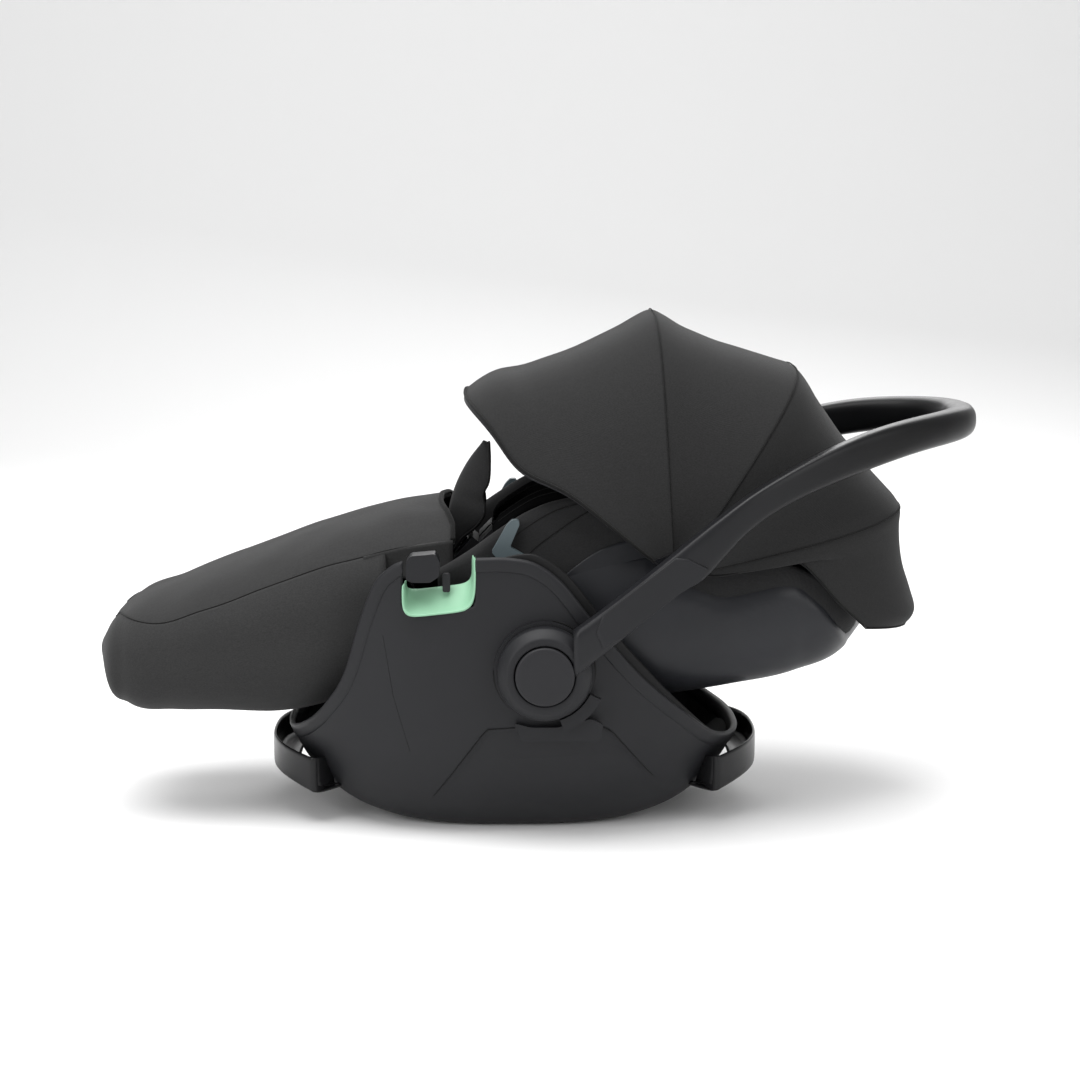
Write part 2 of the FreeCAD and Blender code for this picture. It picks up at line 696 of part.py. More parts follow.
# ---------------------------------------------------------------- leg rest and footmuff
# X, underside, top, half width
MUFF = (
    (-425, 144, 168, 46), (-416, 118, 182, 82), (-396, 103, 200, 106), (-350, 98, 219, 119),
    (-290, 96, 243, 124), (-235, 96, 264, 125), (-190, 108, 279, 125), (-150, 120, 290, 126),
    (-99, 140, 298, 127),
)
SEAM = (
    (-440, 192), (-396, 194), (-357, 194), (-319, 206), (-263, 227), (-207, 246), (-152, 261), (-80, 276),
)


def muff_solid(inset):
    """The footmuff's outer form made smaller by inset; the mouth end stays open."""
    wires = []
    for index, (x, low, high, half) in enumerate(MUFF):
        shift = inset if index == 0 else (5 if inset and index == len(MUFF) - 1 else 0)
        tall = (high - low) / 2 - (inset if index else min(inset, 4))
        ring = [(x + shift, y, (low + high) / 2 + z)
                for y, z in superellipse(half - inset, tall, 2.8)]
        wires.append(Part.Wire(smooth(ring, closed=True)))
    return Part.makeLoft(wires, True, False)


muff_skin = muff_solid(0).cut(muff_solid(size("muff_wall")))
below_seam = slab([(x, z - 0.15) for x, z in SEAM], [(x, 60) for x, _ in SEAM])
above_seam = slab([(x, 340) for x, _ in SEAM], [(x, z + 0.15) for x, z in SEAM])
TRAY_END = -168
feature("footmuff_body", muff_skin.common(below_seam).common(box(-440, TRAY_END, -WIDE, WIDE, 60, 340)))
flaps = muff_skin.common(below_seam).common(box(TRAY_END + 0.3, -90, -WIDE, WIDE, 236, 340))
group("footmuff_cover", muff_skin.common(above_seam).Solids + flaps.Solids)
feature("muff_tag", box(-224, -204, -129.5, -127, 238, 246))

ARM = ((-222, 149), (-196, 149), (-150, 180), (-134, 182), (-134, 198), (-150, 198), (-222, 155))
plate = box(-385, -212, -78, 78, 121.5, 126)
for _, side in SIDES:
    low, high = mirrored(99, 105, side)
    arm = Part.Face(Part.makePolygon([Vector(x, low, z) for x, z in ARM + ARM[:1]]))
    plate = plate.fuse(arm.extrude(Vector(0, high - low, 0)))
    low, high = mirrored(72, 78, side)
    plate = plate.fuse(box(-222, -212, low, high, 121.5, 155))
    low, high = mirrored(72, 105, side)
    plate = plate.fuse(box(-222, -196, low, high, 149, 155))
    low, high = mirrored(90, 110, side)
    plate = plate.cut(rod(size("leg_pin_radius") + size("running_gap"), size("leg_hinge_x"), low, high,
                          size("leg_hinge_high")))
feature("leg_rest_frame", plate.removeSplitter())
group("leg_rest_pins", [
    rod(size("leg_pin_radius"), size("leg_hinge_x"), *mirrored(91, 108, side), size("leg_hinge_high"))
    for _, side in SIDES])
group("recline_pins", [
    rod(size("recline_pin_radius"), size("recline_x"), *mirrored(143, 177, side), size("recline_high"))
    for _, side in SIDES])


# ---------------------------------------------------------------- carry handle
HANDLE_TOP = (
    (-10, 178), (68, 235), (111, 270), (155, 305), (183, 325), (221, 346), (266, 365), (313, 379),
    (364, 387), (405, 390), (440, 390))
HANDLE_UNDER = (
    (10, 148), (68, 195), (122, 239), (144, 252), (160, 269), (177, 287), (199, 304), (221, 316),
    (255, 329), (302, 342), (352, 353), (394, 358), (440, 361))
HANDLE_PLAN = (
    (0, 214), (60, 214), (120, 214), (165, 209), (205, 198), (250, 177), (293, 150), (330, 125),
    (360, 103), (384, 83), (403, 61), (416, 37), (423, 14))


def handle_plan(inset, grip_inset):
    """Plan of the U handle inside one outline, as a solid."""
    side_line = []
    count = len(HANDLE_PLAN)
    for index, (x, y) in enumerate(HANDLE_PLAN):
        ahead = HANDLE_PLAN[min(index + 1, count - 1)]
        behind = HANDLE_PLAN[max(index - 1, 0)]
        tangent = Vector(ahead[0] - behind[0], ahead[1] - behind[1], 0).normalize()
        share = index / (count - 1)
        depth = inset + (grip_inset - inset) * share
        side_line.append((x + tangent.y * depth, y - tangent.x * depth))
    side_line = [point for point in side_line if point[1] > 4]
    whole = side_line + [(side_line[-1][0] + side_line[-1][1] * 0.12, 0)]
    whole += [(x, -y) for x, y in reversed(side_line)]
    curve = smooth([(x, y, 100) for x, y in whole])
    close = Part.makeLine(Vector(*whole[-1], 100), Vector(*whole[0], 100))
    return Part.Face(Part.Wire([curve, close])).extrude(Vector(0, 0, 400))


def handle_bar():
    """The U-shaped carry handle from hub to hub."""
    side_form = slab(HANDLE_TOP, HANDLE_UNDER)
    plan = handle_plan(0, 0).cut(handle_plan(size("arm_thick"), 30))
    face = size("arm_face")
    bar = side_form.common(plan).common(box(-20, 450, -face, face, 100, 450))
    for _, side in SIDES:
        low, high = mirrored(150, 250, side)
        bar = bar.cut(rod(size("hub_radius"), 0, low, high, size("hub_high")))
    return bar


def handle_insert(name, side):
    """Cover plate on the outer face of each arm."""
    outline = ((44, 207), (58, 221), (120, 270), (132, 262), (118, 244), (60, 197), (48, 196))
    return side_pad("insert_" + name, rounded(outline, 3), "214.1", "1.2", side)


feature("carry_handle", handle_bar())
together("handle_inserts", handle_insert)


# ---------------------------------------------------------------- fasteners
screws = []
for x in (-96, 44):
    for y in (-88, 88):
        screws.append(Part.makeCylinder(3.5, 3, Vector(x, y, 8)))
group("shell_screws", screws)

doc.recompute()
for item in doc.Objects:
    if "Invalid" in item.State or "Error" in item.State:
        raise RuntimeError("failed object: " + item.Name)
labels = [item.Label for item in nodes]
if len(labels) != len(set(labels)) or len(labels) > 60:
    raise RuntimeError("labels must be unique and at most 60, there are %d" % len(labels))

os.makedirs("parts", exist_ok=True)
for item in nodes:
    shape = item.Shape
    if shape.isNull() or not shape.isValid() or not shape.Solids:
        raise RuntimeError("bad shape: " + item.Label)
    shape.exportStep("parts/%s.step" % item.Label)
print("wrote %d nodes" % len(nodes))
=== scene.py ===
"""Looks of the lie-flat infant car seat: shells, carry handle, canopy, footmuff and padding.

Shapes are worked out in millimetres in the row's frame and turned into metres by piece().
+X is the head end, -Y the near side, +Z up.
"""
import bmesh
import bpy
import math

import numpy as np
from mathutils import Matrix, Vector, noise


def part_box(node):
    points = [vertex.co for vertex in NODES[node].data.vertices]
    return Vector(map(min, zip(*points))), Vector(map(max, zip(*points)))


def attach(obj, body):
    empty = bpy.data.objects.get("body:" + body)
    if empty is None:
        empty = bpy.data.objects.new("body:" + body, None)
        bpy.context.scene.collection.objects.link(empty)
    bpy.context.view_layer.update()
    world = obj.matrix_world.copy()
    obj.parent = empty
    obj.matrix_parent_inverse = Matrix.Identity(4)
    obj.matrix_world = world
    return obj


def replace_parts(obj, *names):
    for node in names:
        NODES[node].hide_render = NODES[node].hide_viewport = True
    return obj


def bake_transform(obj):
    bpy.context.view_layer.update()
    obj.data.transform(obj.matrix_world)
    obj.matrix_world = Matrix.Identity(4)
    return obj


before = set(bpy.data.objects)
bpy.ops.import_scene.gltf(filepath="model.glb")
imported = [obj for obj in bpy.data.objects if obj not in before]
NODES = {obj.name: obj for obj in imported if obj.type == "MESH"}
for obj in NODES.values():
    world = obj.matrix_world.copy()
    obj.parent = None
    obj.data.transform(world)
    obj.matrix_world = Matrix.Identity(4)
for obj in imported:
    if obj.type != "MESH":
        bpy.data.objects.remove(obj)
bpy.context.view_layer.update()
MM = 0.001
SIDES = (("left", -1), ("right", 1))


# ---------------------------------------------------------------- materials
class Shader:
    """A small wrapper for building one node material."""

    def __init__(self, name, colour, roughness, **sockets):
        self.material = bpy.data.materials.new(name)
        self.material.use_nodes = True
        self.tree = self.material.node_tree
        self.surface = self.tree.nodes["Principled BSDF"]
        self.surface.inputs["Base Color"].default_value = (*colour, 1)
        self.surface.inputs["Roughness"].default_value = roughness
        for socket, value in sockets.items():
            self.surface.inputs[socket.replace("_", " ")].default_value = value
        self.place = self.node("ShaderNodeTexCoord").outputs["Object"]

    def node(self, kind, **settings):
        """Add a node with its settings."""
        item = self.tree.nodes.new(kind)
        for key, value in settings.items():
            setattr(item, key, value)
        return item

    def link(self, start, end):
        self.tree.links.new(start, end)

    def noise(self, scale, detail=3.0, stretch=(1, 1, 1)):
        """Fractal noise over the piece; stretch scales each axis."""
        spread = self.node("ShaderNodeVectorMath", operation="MULTIPLY")
        spread.inputs[1].default_value = stretch
        self.link(self.place, spread.inputs[0])
        cloud = self.node("ShaderNodeTexNoise")
        cloud.inputs["Scale"].default_value = scale
        cloud.inputs["Detail"].default_value = detail
        self.link(spread.outputs[0], cloud.inputs["Vector"])
        return cloud.outputs["Fac"]

    def wave(self, scale, direction):
        """Sine bands along one direction of the piece."""
        band = self.node("ShaderNodeTexWave", bands_direction=direction, wave_profile="SIN")
        band.inputs["Scale"].default_value = scale
        band.inputs["Distortion"].default_value = 0.3
        self.link(self.place, band.inputs["Vector"])
        return band.outputs["Fac"]

    def ramp(self, value, dark, light, low=0.3, high=0.7):
        """Colour that runs from dark to light as value goes from low to high."""
        scale = self.node("ShaderNodeValToRGB")
        scale.color_ramp.elements[0].position = low
        scale.color_ramp.elements[0].color = (*dark, 1)
        scale.color_ramp.elements[1].position = high
        scale.color_ramp.elements[1].color = (*light, 1)
        self.link(value, scale.inputs["Fac"])
        return scale.outputs["Color"]

    def span(self, value, low, high):
        """Turn a 0 to 1 value into one from low to high."""
        scale = self.node("ShaderNodeMapRange")
        scale.inputs["To Min"].default_value = low
        scale.inputs["To Max"].default_value = high
        self.link(value, scale.inputs["Value"])
        return scale.outputs["Result"]

    def add(self, first, second):
        """Sum of two values."""
        total = self.node("ShaderNodeMath", operation="ADD")
        self.link(first, total.inputs[0])
        self.link(second, total.inputs[1])
        return total.outputs[0]

    def bump(self, height, strength, distance, under=None):
        """Relief on the surface, over an earlier relief if one is given."""
        relief = self.node("ShaderNodeBump")
        relief.inputs["Strength"].default_value = strength
        relief.inputs["Distance"].default_value = distance
        self.link(height, relief.inputs["Height"])
        if under:
            self.link(under, relief.inputs["Normal"])
        self.link(relief.outputs["Normal"], self.surface.inputs["Normal"])
        return relief.outputs["Normal"]


def mix(colour, amount):
    """A colour made lighter or darker by a factor."""
    return tuple(channel * amount for channel in colour)


def moulded(name, colour, roughness, grain=2600, depth=0.00006, spread=0.1):
    """Moulded plastic: spark-eroded grain, slight colour drift and rubbed, shinier patches."""
    shader = Shader(name, colour, roughness, Specular_IOR_Level=0.23)
    drift = shader.noise(9, 4)
    tone = shader.ramp(drift, mix(colour, 1 - spread), mix(colour, 1 + spread))
    shader.link(tone, shader.surface.inputs["Base Color"])
    rubbed = shader.noise(38, 5)
    shader.link(shader.span(rubbed, roughness - 0.06, roughness + 0.06), shader.surface.inputs["Roughness"])
    shader.bump(shader.noise(grain, 2), 0.35, depth)
    return shader.material


def woven(name, colour, pitch=0.45, depth=0.0001, sheen=0.07, gloss=0.1):
    """Plain weave with pitch millimetres between threads, melange yarn and soft creases."""
    shader = Shader(name, colour, 0.92, Specular_IOR_Level=gloss, Sheen_Weight=sheen, Sheen_Roughness=0.45)
    threads = 1000 / pitch / 20 * math.pi
    warp, weft, third = (shader.wave(threads, axis) for axis in ("X", "Y", "Z"))
    weave = shader.add(shader.add(warp, weft), third)
    yarn = shader.noise(620, 4, (1, 1, 2.4))
    tone = shader.ramp(yarn, mix(colour, 0.86), mix(colour, 1.14), 0.35, 0.65)
    shader.link(tone, shader.surface.inputs["Base Color"])
    creases = shader.bump(shader.noise(22, 3), 0.16, 0.0016)
    relief = shader.bump(weave, 0.4, depth, creases)
    shader.link(relief, shader.surface.inputs["Normal"])
    return shader.material


def webbing(name, colour):
    """Narrow woven tape with fine diagonal ribs."""
    shader = Shader(name, colour, 0.75, Specular_IOR_Level=0.15, Sheen_Weight=0.03)
    ribs = shader.wave(190, "DIAGONAL")
    shader.link(shader.ramp(ribs, mix(colour, 0.7), mix(colour, 1.3)), shader.surface.inputs["Base Color"])
    shader.bump(ribs, 0.5, 0.0003)
    return shader.material


def metal(name, colour, roughness):
    """Plated steel with fine brushing."""
    shader = Shader(name, colour, roughness, Metallic=1.0)
    brushed = shader.noise(160, 4, (1, 14, 1))
    shader.link(shader.span(brushed, roughness - 0.1, roughness + 0.12), shader.surface.inputs["Roughness"])
    shader.bump(brushed, 0.15, 0.00005)
    return shader.material


SHELL_GREY = (0.0112, 0.0114, 0.013)


def painted_shade_grip_plastic():
    """The handle's plastic, shell grey at the hubs and painted darker to near black at the grip: painted
    shade.
    """
    material = moulded("handle_plastic", (0.011, 0.011, 0.0128), 0.36, depth=0.00003)
    tree = material.node_tree
    place = tree.nodes.new("ShaderNodeTexCoord")
    split = tree.nodes.new("ShaderNodeSeparateXYZ")
    along = tree.nodes.new("ShaderNodeMapRange")
    along.inputs["From Min"].default_value = 0.10
    along.inputs["From Max"].default_value = 0.34
    # Painted shade: the colour darkens from shell grey to near black as object X runs from 0.10 to 0.34 m.
    shade = tree.nodes.new("ShaderNodeValToRGB")
    shade.color_ramp.elements[0].color = (0.0105, 0.0107, 0.0123, 1)
    shade.color_ramp.elements[1].color = (0.0024, 0.0024, 0.0028, 1)
    tree.links.new(place.outputs["Object"], split.inputs[0])
    tree.links.new(split.outputs["X"], along.inputs["Value"])
    tree.links.new(along.outputs["Result"], shade.inputs["Fac"])
    tree.links.new(shade.outputs["Color"], tree.nodes["Principled BSDF"].inputs["Base Color"])
    return material


MATERIALS = {
    "shell_plastic": moulded("shell_plastic", SHELL_GREY, 0.5),
    "inner_plastic": moulded("inner_plastic", (0.015, 0.0156, 0.0182), 0.38, depth=0.00003),
    "handle_plastic": painted_shade_grip_plastic(),
    "trim_plastic": moulded("trim_plastic", (0.014, 0.014, 0.0158), 0.5),
    # Near-black plastic: real joint lines, and painted shade on the inner strips and the hub recess rings.
    "joint_and_painted_shade_plastic": moulded("joint_and_painted_shade_plastic", (0.003, 0.003, 0.0033), 0.6),
    "band_plastic": moulded("band_plastic", (0.0075, 0.0075, 0.0082), 0.3, depth=0.00003),
    "mint_plastic": moulded("mint_plastic", (0.235, 0.44, 0.295), 0.42, depth=0.00003, spread=0.03),
    "lever_plastic": moulded("lever_plastic", (0.075, 0.096, 0.105), 0.45, spread=0.05),
    "button_plastic": moulded("button_plastic", (0.02, 0.02, 0.0215), 0.35, spread=0.05),
    "canopy_fabric": woven("canopy_fabric", (0.0195, 0.0195, 0.0197)),
    "muff_fabric": woven("muff_fabric", (0.0275, 0.0275, 0.0277)),
    "seat_fabric": woven("seat_fabric", (0.019, 0.019, 0.0195), pitch=0.55, depth=0.00014),
    "lining": woven("lining", (0.005, 0.005, 0.0052), pitch=0.4),
    "harness_cover": woven("harness_cover", (0.004, 0.004, 0.0042), pitch=0.4, sheen=0.0, gloss=0.0),
    "piping": woven("piping", (0.0085, 0.0085, 0.0085), pitch=0.3),
    "webbing": webbing("webbing", (0.005, 0.005, 0.0053)),
    "foam": moulded("foam", (0.55, 0.55, 0.55), 0.9, grain=900, depth=0.0003),
    "steel": metal("steel", (0.55, 0.55, 0.56), 0.35),
    "rubber": moulded("rubber", (0.012, 0.012, 0.012), 0.8, grain=1500, depth=0.0001),
}


# ---------------------------------------------------------------- mesh helpers
def line_through(points):
    """A smooth function z(x) through side points (x, z)."""
    xs, ys = np.array(points, float).T
    slopes = np.gradient(ys, xs)

    def at(x):
        x = np.clip(np.asarray(x, float), xs[0], xs[-1])
        index = np.clip(np.searchsorted(xs, x) - 1, 0, len(xs) - 2)
        gap = xs[index + 1] - xs[index]
        share = (x - xs[index]) / gap
        square, cube = share**2, share**3
        return ((2 * cube - 3 * square + 1) * ys[index] + (cube - 2 * square + share) * gap * slopes[index]
                + (3 * square - 2 * cube) * ys[index + 1] + (cube - square) * gap * slopes[index + 1])

    return at


def piece(name, points, faces, material, body):
    """A mesh from points in millimetres, with its material, riding on a body."""
    mesh = bpy.data.meshes.new(name)
    mesh.from_pydata((np.asarray(points, float) * MM).tolist(), [], faces)
    mesh.validate()
    shape = bmesh.new()
    shape.from_mesh(mesh)
    bmesh.ops.remove_doubles(shape, verts=shape.verts, dist=2e-5)
    bmesh.ops.recalc_face_normals(shape, faces=shape.faces)
    shape.to_mesh(mesh)
    shape.free()
    mesh.polygons.foreach_set("use_smooth", [True] * len(mesh.polygons))
    item = bpy.data.objects.new(name, mesh)
    bpy.context.scene.collection.objects.link(item)
    dress(item, material)
    if body:
        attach(item, body)
    return item


def dress(item, material):
    """Give a piece its material."""
    item.data.materials.clear()
    item.data.materials.append(MATERIALS[material])


def grid_faces(rows, columns, closed=False):
    """Quads of a grid of points stored row by row; closed joins the last column to the first."""
    faces = []
    for row in range(rows - 1):
        for column in range(columns if closed else columns - 1):
            ahead = (column + 1) % columns
            faces.append((row * columns + column, row * columns + ahead,
                          (row + 1) * columns + ahead, (row + 1) * columns + column))
    return faces


def grid(name, surface, material, body, closed=False, caps=False):
    """A piece from an array of rows of points."""
    surface = np.asarray(surface, float)
    rows, columns = surface.shape[:2]
    faces = grid_faces(rows, columns, closed)
    if caps:
        faces.append(tuple(range(columns)))
        faces.append(tuple((rows - 1) * columns + column for column in reversed(range(columns))))
    return piece(name, surface.reshape(-1, 3), faces, material, body)


def modifier(item, kind, **settings):
    """Add a modifier with its settings."""
    change = item.modifiers.new(kind.title(), kind)
    for key, value in settings.items():
        setattr(change, key, value)
    return change


def apply_modifiers(item):
    """Bake a piece's modifiers into its mesh."""
    baked = bpy.data.meshes.new_from_object(item.evaluated_get(bpy.context.evaluated_depsgraph_get()))
    item.modifiers.clear()
    item.data = baked


def rounded(value, power):
    """A sine or cosine bent towards a rounded rectangle; power 2 leaves it a circle's."""
    return np.sign(value) * np.abs(value) ** (2 / power)


def smooth_step(share):
    """Ease a 0 to 1 value at both ends."""
    return share * share * (3 - 2 * share)


def unit_rows(vectors):
    """The same rows, each made one long."""
    return vectors / np.linalg.norm(vectors, axis=1)[:, None]


def headings(line):
    """Unit direction at each point of a line of points."""
    return unit_rows(np.gradient(line, axis=0))


def ring(half_a, half_b, power, count):
    """Points once round a rounded rectangle, as an array of pairs."""
    angle = 2 * np.pi * np.arange(count) / count
    return np.stack([rounded(np.cos(angle), power) * half_a, rounded(np.sin(angle), power) * half_b], 1)


def tube(name, path, radius, material, body, sides=8):
    """A round cord-like bead along points, for piping, seams and grooves."""
    path = np.asarray(path, float)
    ahead = np.gradient(path, axis=0)
    ahead /= np.linalg.norm(ahead, axis=1)[:, None] + 1e-9
    side = np.cross(ahead, [0.13, 0.31, 0.94])
    side /= np.linalg.norm(side, axis=1)[:, None]
    up = np.cross(side, ahead)
    angles = 2 * np.pi * np.arange(sides) / sides
    rings = path[:, None] + radius * (
        side[:, None] * np.cos(angles)[None, :, None] + up[:, None] * np.sin(angles)[None, :, None])
    return grid(name, rings, material, body, closed=True, caps=True)


def resample(path, count):
    """Evenly spaced points along a line of points, smoothed."""
    path = np.asarray(path, float)
    length = np.concatenate([[0], np.cumsum(np.linalg.norm(np.diff(path, axis=0), axis=1))])
    spots = np.linspace(0, length[-1], count)
    lines = [line_through(np.stack([length, path[:, axis]], 1)) for axis in range(path.shape[1])]
    return np.stack([line(spots) for line in lines], 1)


def ripple(points, size_mm, depth):
    """Soft unevenness of stuffed cloth, the same on every run."""
    moved = points.reshape(-1, 3).copy()
    for index, point in enumerate(moved):
        value = noise.noise(Vector(point / size_mm)) * depth
        moved[index] += value * np.array([0.2, 0.7 * np.sign(point[1]), 0.7])
    return moved.reshape(points.shape)


# ---------------------------------------------------------------- outer shell
SHELL_MIDDLE, SHELL_LONG, SHELL_WIDE, SHELL_POWER = -26, 226, 181, 2.5
HUB_HEIGHT = 163
RIM = line_through((
    (-262, 80), (-243, 84), (-228, 95), (-205, 120), (-184, 157), (-169, 207), (-157, 238),
    (-141, 256), (-115, 264), (-60, 266), (-31, 266), (-8, 261), (15, 245), (42, 211),
    (88, 156), (136, 111), (163, 88), (190, 78), (215, 75)))
ROCKER = line_through((
    (-262, 90), (-236, 62), (-212, 38), (-186, 21), (-141, 6.5), (-100, 1.9), (-71, 1),
    (-26, 1), (19, 1), (48, 1.9), (89, 6.5), (134, 21), (160, 38), (184, 62), (215, 74)))
LONG_SHARE = line_through(((-2, 0.72), (30, 0.84), (84, 0.975), (140, 1), (280, 1)))
WIDE_SHARE = line_through(((-2, 0.66), (30, 0.83), (84, 0.955), (140, 1), (280, 1.005)))


def shell_point(angle, height, inset=0.0):
    """Points of the outer shell's wall at plan angles and heights."""
    half_long = SHELL_LONG * LONG_SHARE(height) - inset
    half_wide = SHELL_WIDE * WIDE_SHARE(height) - inset
    x = SHELL_MIDDLE + rounded(np.cos(angle), SHELL_POWER) * half_long
    y = rounded(np.sin(angle), SHELL_POWER) * half_wide
    return np.stack([x, y, np.broadcast_to(height, x.shape)], -1)


def meeting_height(angle, line, low, high, inset=0.0):
    """Height at each plan angle where the wall meets a side line."""
    low, high = np.full(angle.shape, float(low)), np.full(angle.shape, float(high))
    for _ in range(36):
        middle = (low + high) / 2
        above = line(shell_point(angle, middle, inset)[..., 0]) > middle
        low, high = np.where(above, middle, low), np.where(above, high, middle)
    return (low + high) / 2


def shell_side(x, z, side, proud=0.0):
    """Y of the shell's outer face at a side point."""
    half_long = SHELL_LONG * LONG_SHARE(z)
    half_wide = SHELL_WIDE * WIDE_SHARE(z)
    share = np.clip(1 - np.abs((x - SHELL_MIDDLE) / half_long) ** SHELL_POWER, 0.0, 1) ** (1 / SHELL_POWER)
    return side * (half_wide * share + proud)


COLUMNS = 420
ANGLES = 2 * np.pi * (np.arange(COLUMNS) + 0.5) / COLUMNS
SHELL_WALL, PANEL_DEPTH, FLOOR_RISE = 3.0, 3.2, 5


def recess(points):
    """How far the wall stands back: the sloping panel that spreads below each hub."""
    x, z = points[..., 0], points[..., 2]
    below = 104 - z
    left_edge, right_edge = -55 - below * 0.71, 62 + below * 0.8
    inside = np.minimum(np.minimum(x - left_edge, right_edge - x) / 4, (107 - z) / 3)
    fade = np.clip((z - 30) / 50, 0, 1)
    return np.clip(inside, 0, 1) * fade * PANEL_DEPTH


def drawn_in(points, scale):
    """Plan points pulled in towards the shell's middle, on the rocker line."""
    moved = points * np.array([scale, scale, 1]) + np.array([SHELL_MIDDLE * (1 - scale), 0, 0])
    moved[:, 2] = ROCKER(moved[:, 0])
    return moved


def make_shell():
    """Wall, rolled bottom edge, rocker floor and inner face of the outer shell."""
    foot = meeting_height(ANGLES, ROCKER, 0, 120)
    top = meeting_height(ANGLES, RIM, 40, 300)
    share = np.linspace(0, 1, 78)[:, None]
    heights = foot + 9 + (top - foot - 9) * share
    wall = shell_point(np.broadcast_to(ANGLES, heights.shape), heights)
    outward = (wall - np.array([SHELL_MIDDLE, 0, 0])) * [1, 1, 0]
    outward /= np.linalg.norm(outward, axis=-1)[..., None]
    wall = wall - outward * recess(wall)[..., None]
    corner = shell_point(ANGLES, foot)
    rows = [drawn_in(corner, scale) for scale in (0.02, 0.25, 0.5, 0.72, 0.86)]
    inner_edge = drawn_in(corner, 0.93)
    for step in np.linspace(0, 1, 9)[:-1]:
        rows.append(inner_edge * (1 - step) ** 2 + corner * 2 * step * (1 - step) + wall[0] * step**2)
    rows.extend(wall)
    lip = rows[-1].copy()
    lip[:, 2] += 1.2
    rows.append(lip * 0.5 + shell_point(ANGLES, top, 1.5) * 0.5 + np.array([0, 0, 0.8]))
    for step in np.linspace(0, 1, 30):
        height = top - (top - np.maximum(foot + 10, 0)) * step
        rows.append(shell_point(ANGLES, height, SHELL_WALL))
    rows.extend(drawn_in(corner, scale) + [0, 0, FLOOR_RISE] for scale in (0.7, 0.35, 0.02))
    return grid("shell_body", rows, "shell_plastic", "base", closed=True, caps=True)


shell_body = make_shell()
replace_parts(shell_body, "outer_shell")


def snap(points, proud):
    """Move points onto the outer wall, standing proud of it."""
    x, y, z = points[..., 0] - SHELL_MIDDLE, points[..., 1], points[..., 2]
    half_long, half_wide = SHELL_LONG * LONG_SHARE(z), SHELL_WIDE * WIDE_SHARE(z)
    reach = (np.abs(x / half_long) ** SHELL_POWER + np.abs(y / half_wide) ** SHELL_POWER) ** (1 / SHELL_POWER)
    base = np.stack([x / reach, y / reach], -1)
    out = base / np.linalg.norm(base, axis=-1)[..., None]
    base = base + out * proud
    return np.stack([base[..., 0] + SHELL_MIDDLE, base[..., 1], z], -1)


def make_rim():
    """The turned-over border that frames the shell's opening."""
    top = meeting_height(ANGLES, RIM, 40, 300)
    edge = shell_point(ANGLES, top)
    along = unit_rows(np.roll(edge, -1, axis=0) - np.roll(edge, 1, axis=0))
    outward = unit_rows((edge - np.array([SHELL_MIDDLE, 0, 0])) * [1, 1, 0])
    down = np.cross(along, outward)
    down *= -np.sign(down[:, 2])[:, None]
    rows = []
    for depth, proud in (
            (12.5, -0.5), (12.2, 0.5), (11.4, 1.1), (9, 1.3), (5, 1.5), (2, 1.6), (0.4, 1.0), (-0.7, -0.4)):
        rows.append(snap(edge + down * depth, proud))
    for depth, inset in ((-0.9, 2.4), (-0.2, 4.2), (1.6, 5.2), (5, 5.4), (12, 5.2), (12.4, 4.0), (12.4, 2.0)):
        rows.append(snap(edge + down * depth, -inset))
    rows.append(rows[0])
    return grid("shell_rim", rows, "shell_plastic", "base", closed=True)


shell_rim = make_rim()


def make_inner_strip(name, side):
    """The shell's inner skin, which stands above the rim beside the hub; its near-black colour is painted
    shade of the shadowed interior.
    """
    xs = np.linspace(-38, 168, 70)
    slope = np.gradient(RIM(xs), xs)
    normal = np.stack([-slope, np.ones_like(slope)], 1) / np.sqrt(1 + slope**2)[:, None]
    rise = 9.5 * np.clip((xs + 38) / 26, 0, 1) ** 0.6 * np.clip((168 - xs) / 80, 0, 1)
    rows = []
    for share, inset in ((-1.5, 7.5), (0.0, 6.2), (0.8, 6.0), (1.0, 7.0), (0.9, 9.5), (0.0, 10.0)):
        x = xs + normal[:, 0] * rise * share
        z = RIM(xs) + normal[:, 1] * rise * share - 2
        rows.append(np.stack([x, shell_side(x, z, side, -inset), z], 1))
    grid("inner_strip_" + name, rows, "joint_and_painted_shade_plastic", "base")


for name, side in SIDES:
    make_inner_strip(name, side)


def polyline(points, count):
    """Evenly spaced points along straight runs."""
    path = np.asarray(points, float)
    length = np.concatenate([[0], np.cumsum(np.linalg.norm(np.diff(path, axis=0), axis=1))])
    spots = np.linspace(0, length[-1], count)
    return np.stack([np.interp(spots, length, path[:, axis]) for axis in range(path.shape[1])], 1)


def panel_line(name, points, radius=0.55, proud=-0.1, material="joint_and_painted_shade_plastic"):
    """A fine joint line drawn on both sides of the shell along side points."""
    path = polyline(points, 60)
    for label, side in SIDES:
        y = shell_side(path[:, 0], path[:, 1], side, proud)
        tube("%s_%s" % (name, label), np.stack([path[:, 0], y, path[:, 1]], 1), radius, material, "base", 6)


panel_line("slope_line_leg", ((-27, 108), (-52, 106), (-59, 98), (-103, 36)), 0.6)
panel_line("slope_line_head", ((55, 107), (64, 101), (103, 53)), 0.6)
panel_line("side_line", ((-148, 193), (-139, 136), (-124, 82)), 0.3)


# ---------------------------------------------------------------- end bands
BAND_SWEEP = 0.76  # half of the plan angle that a band spans, in radians


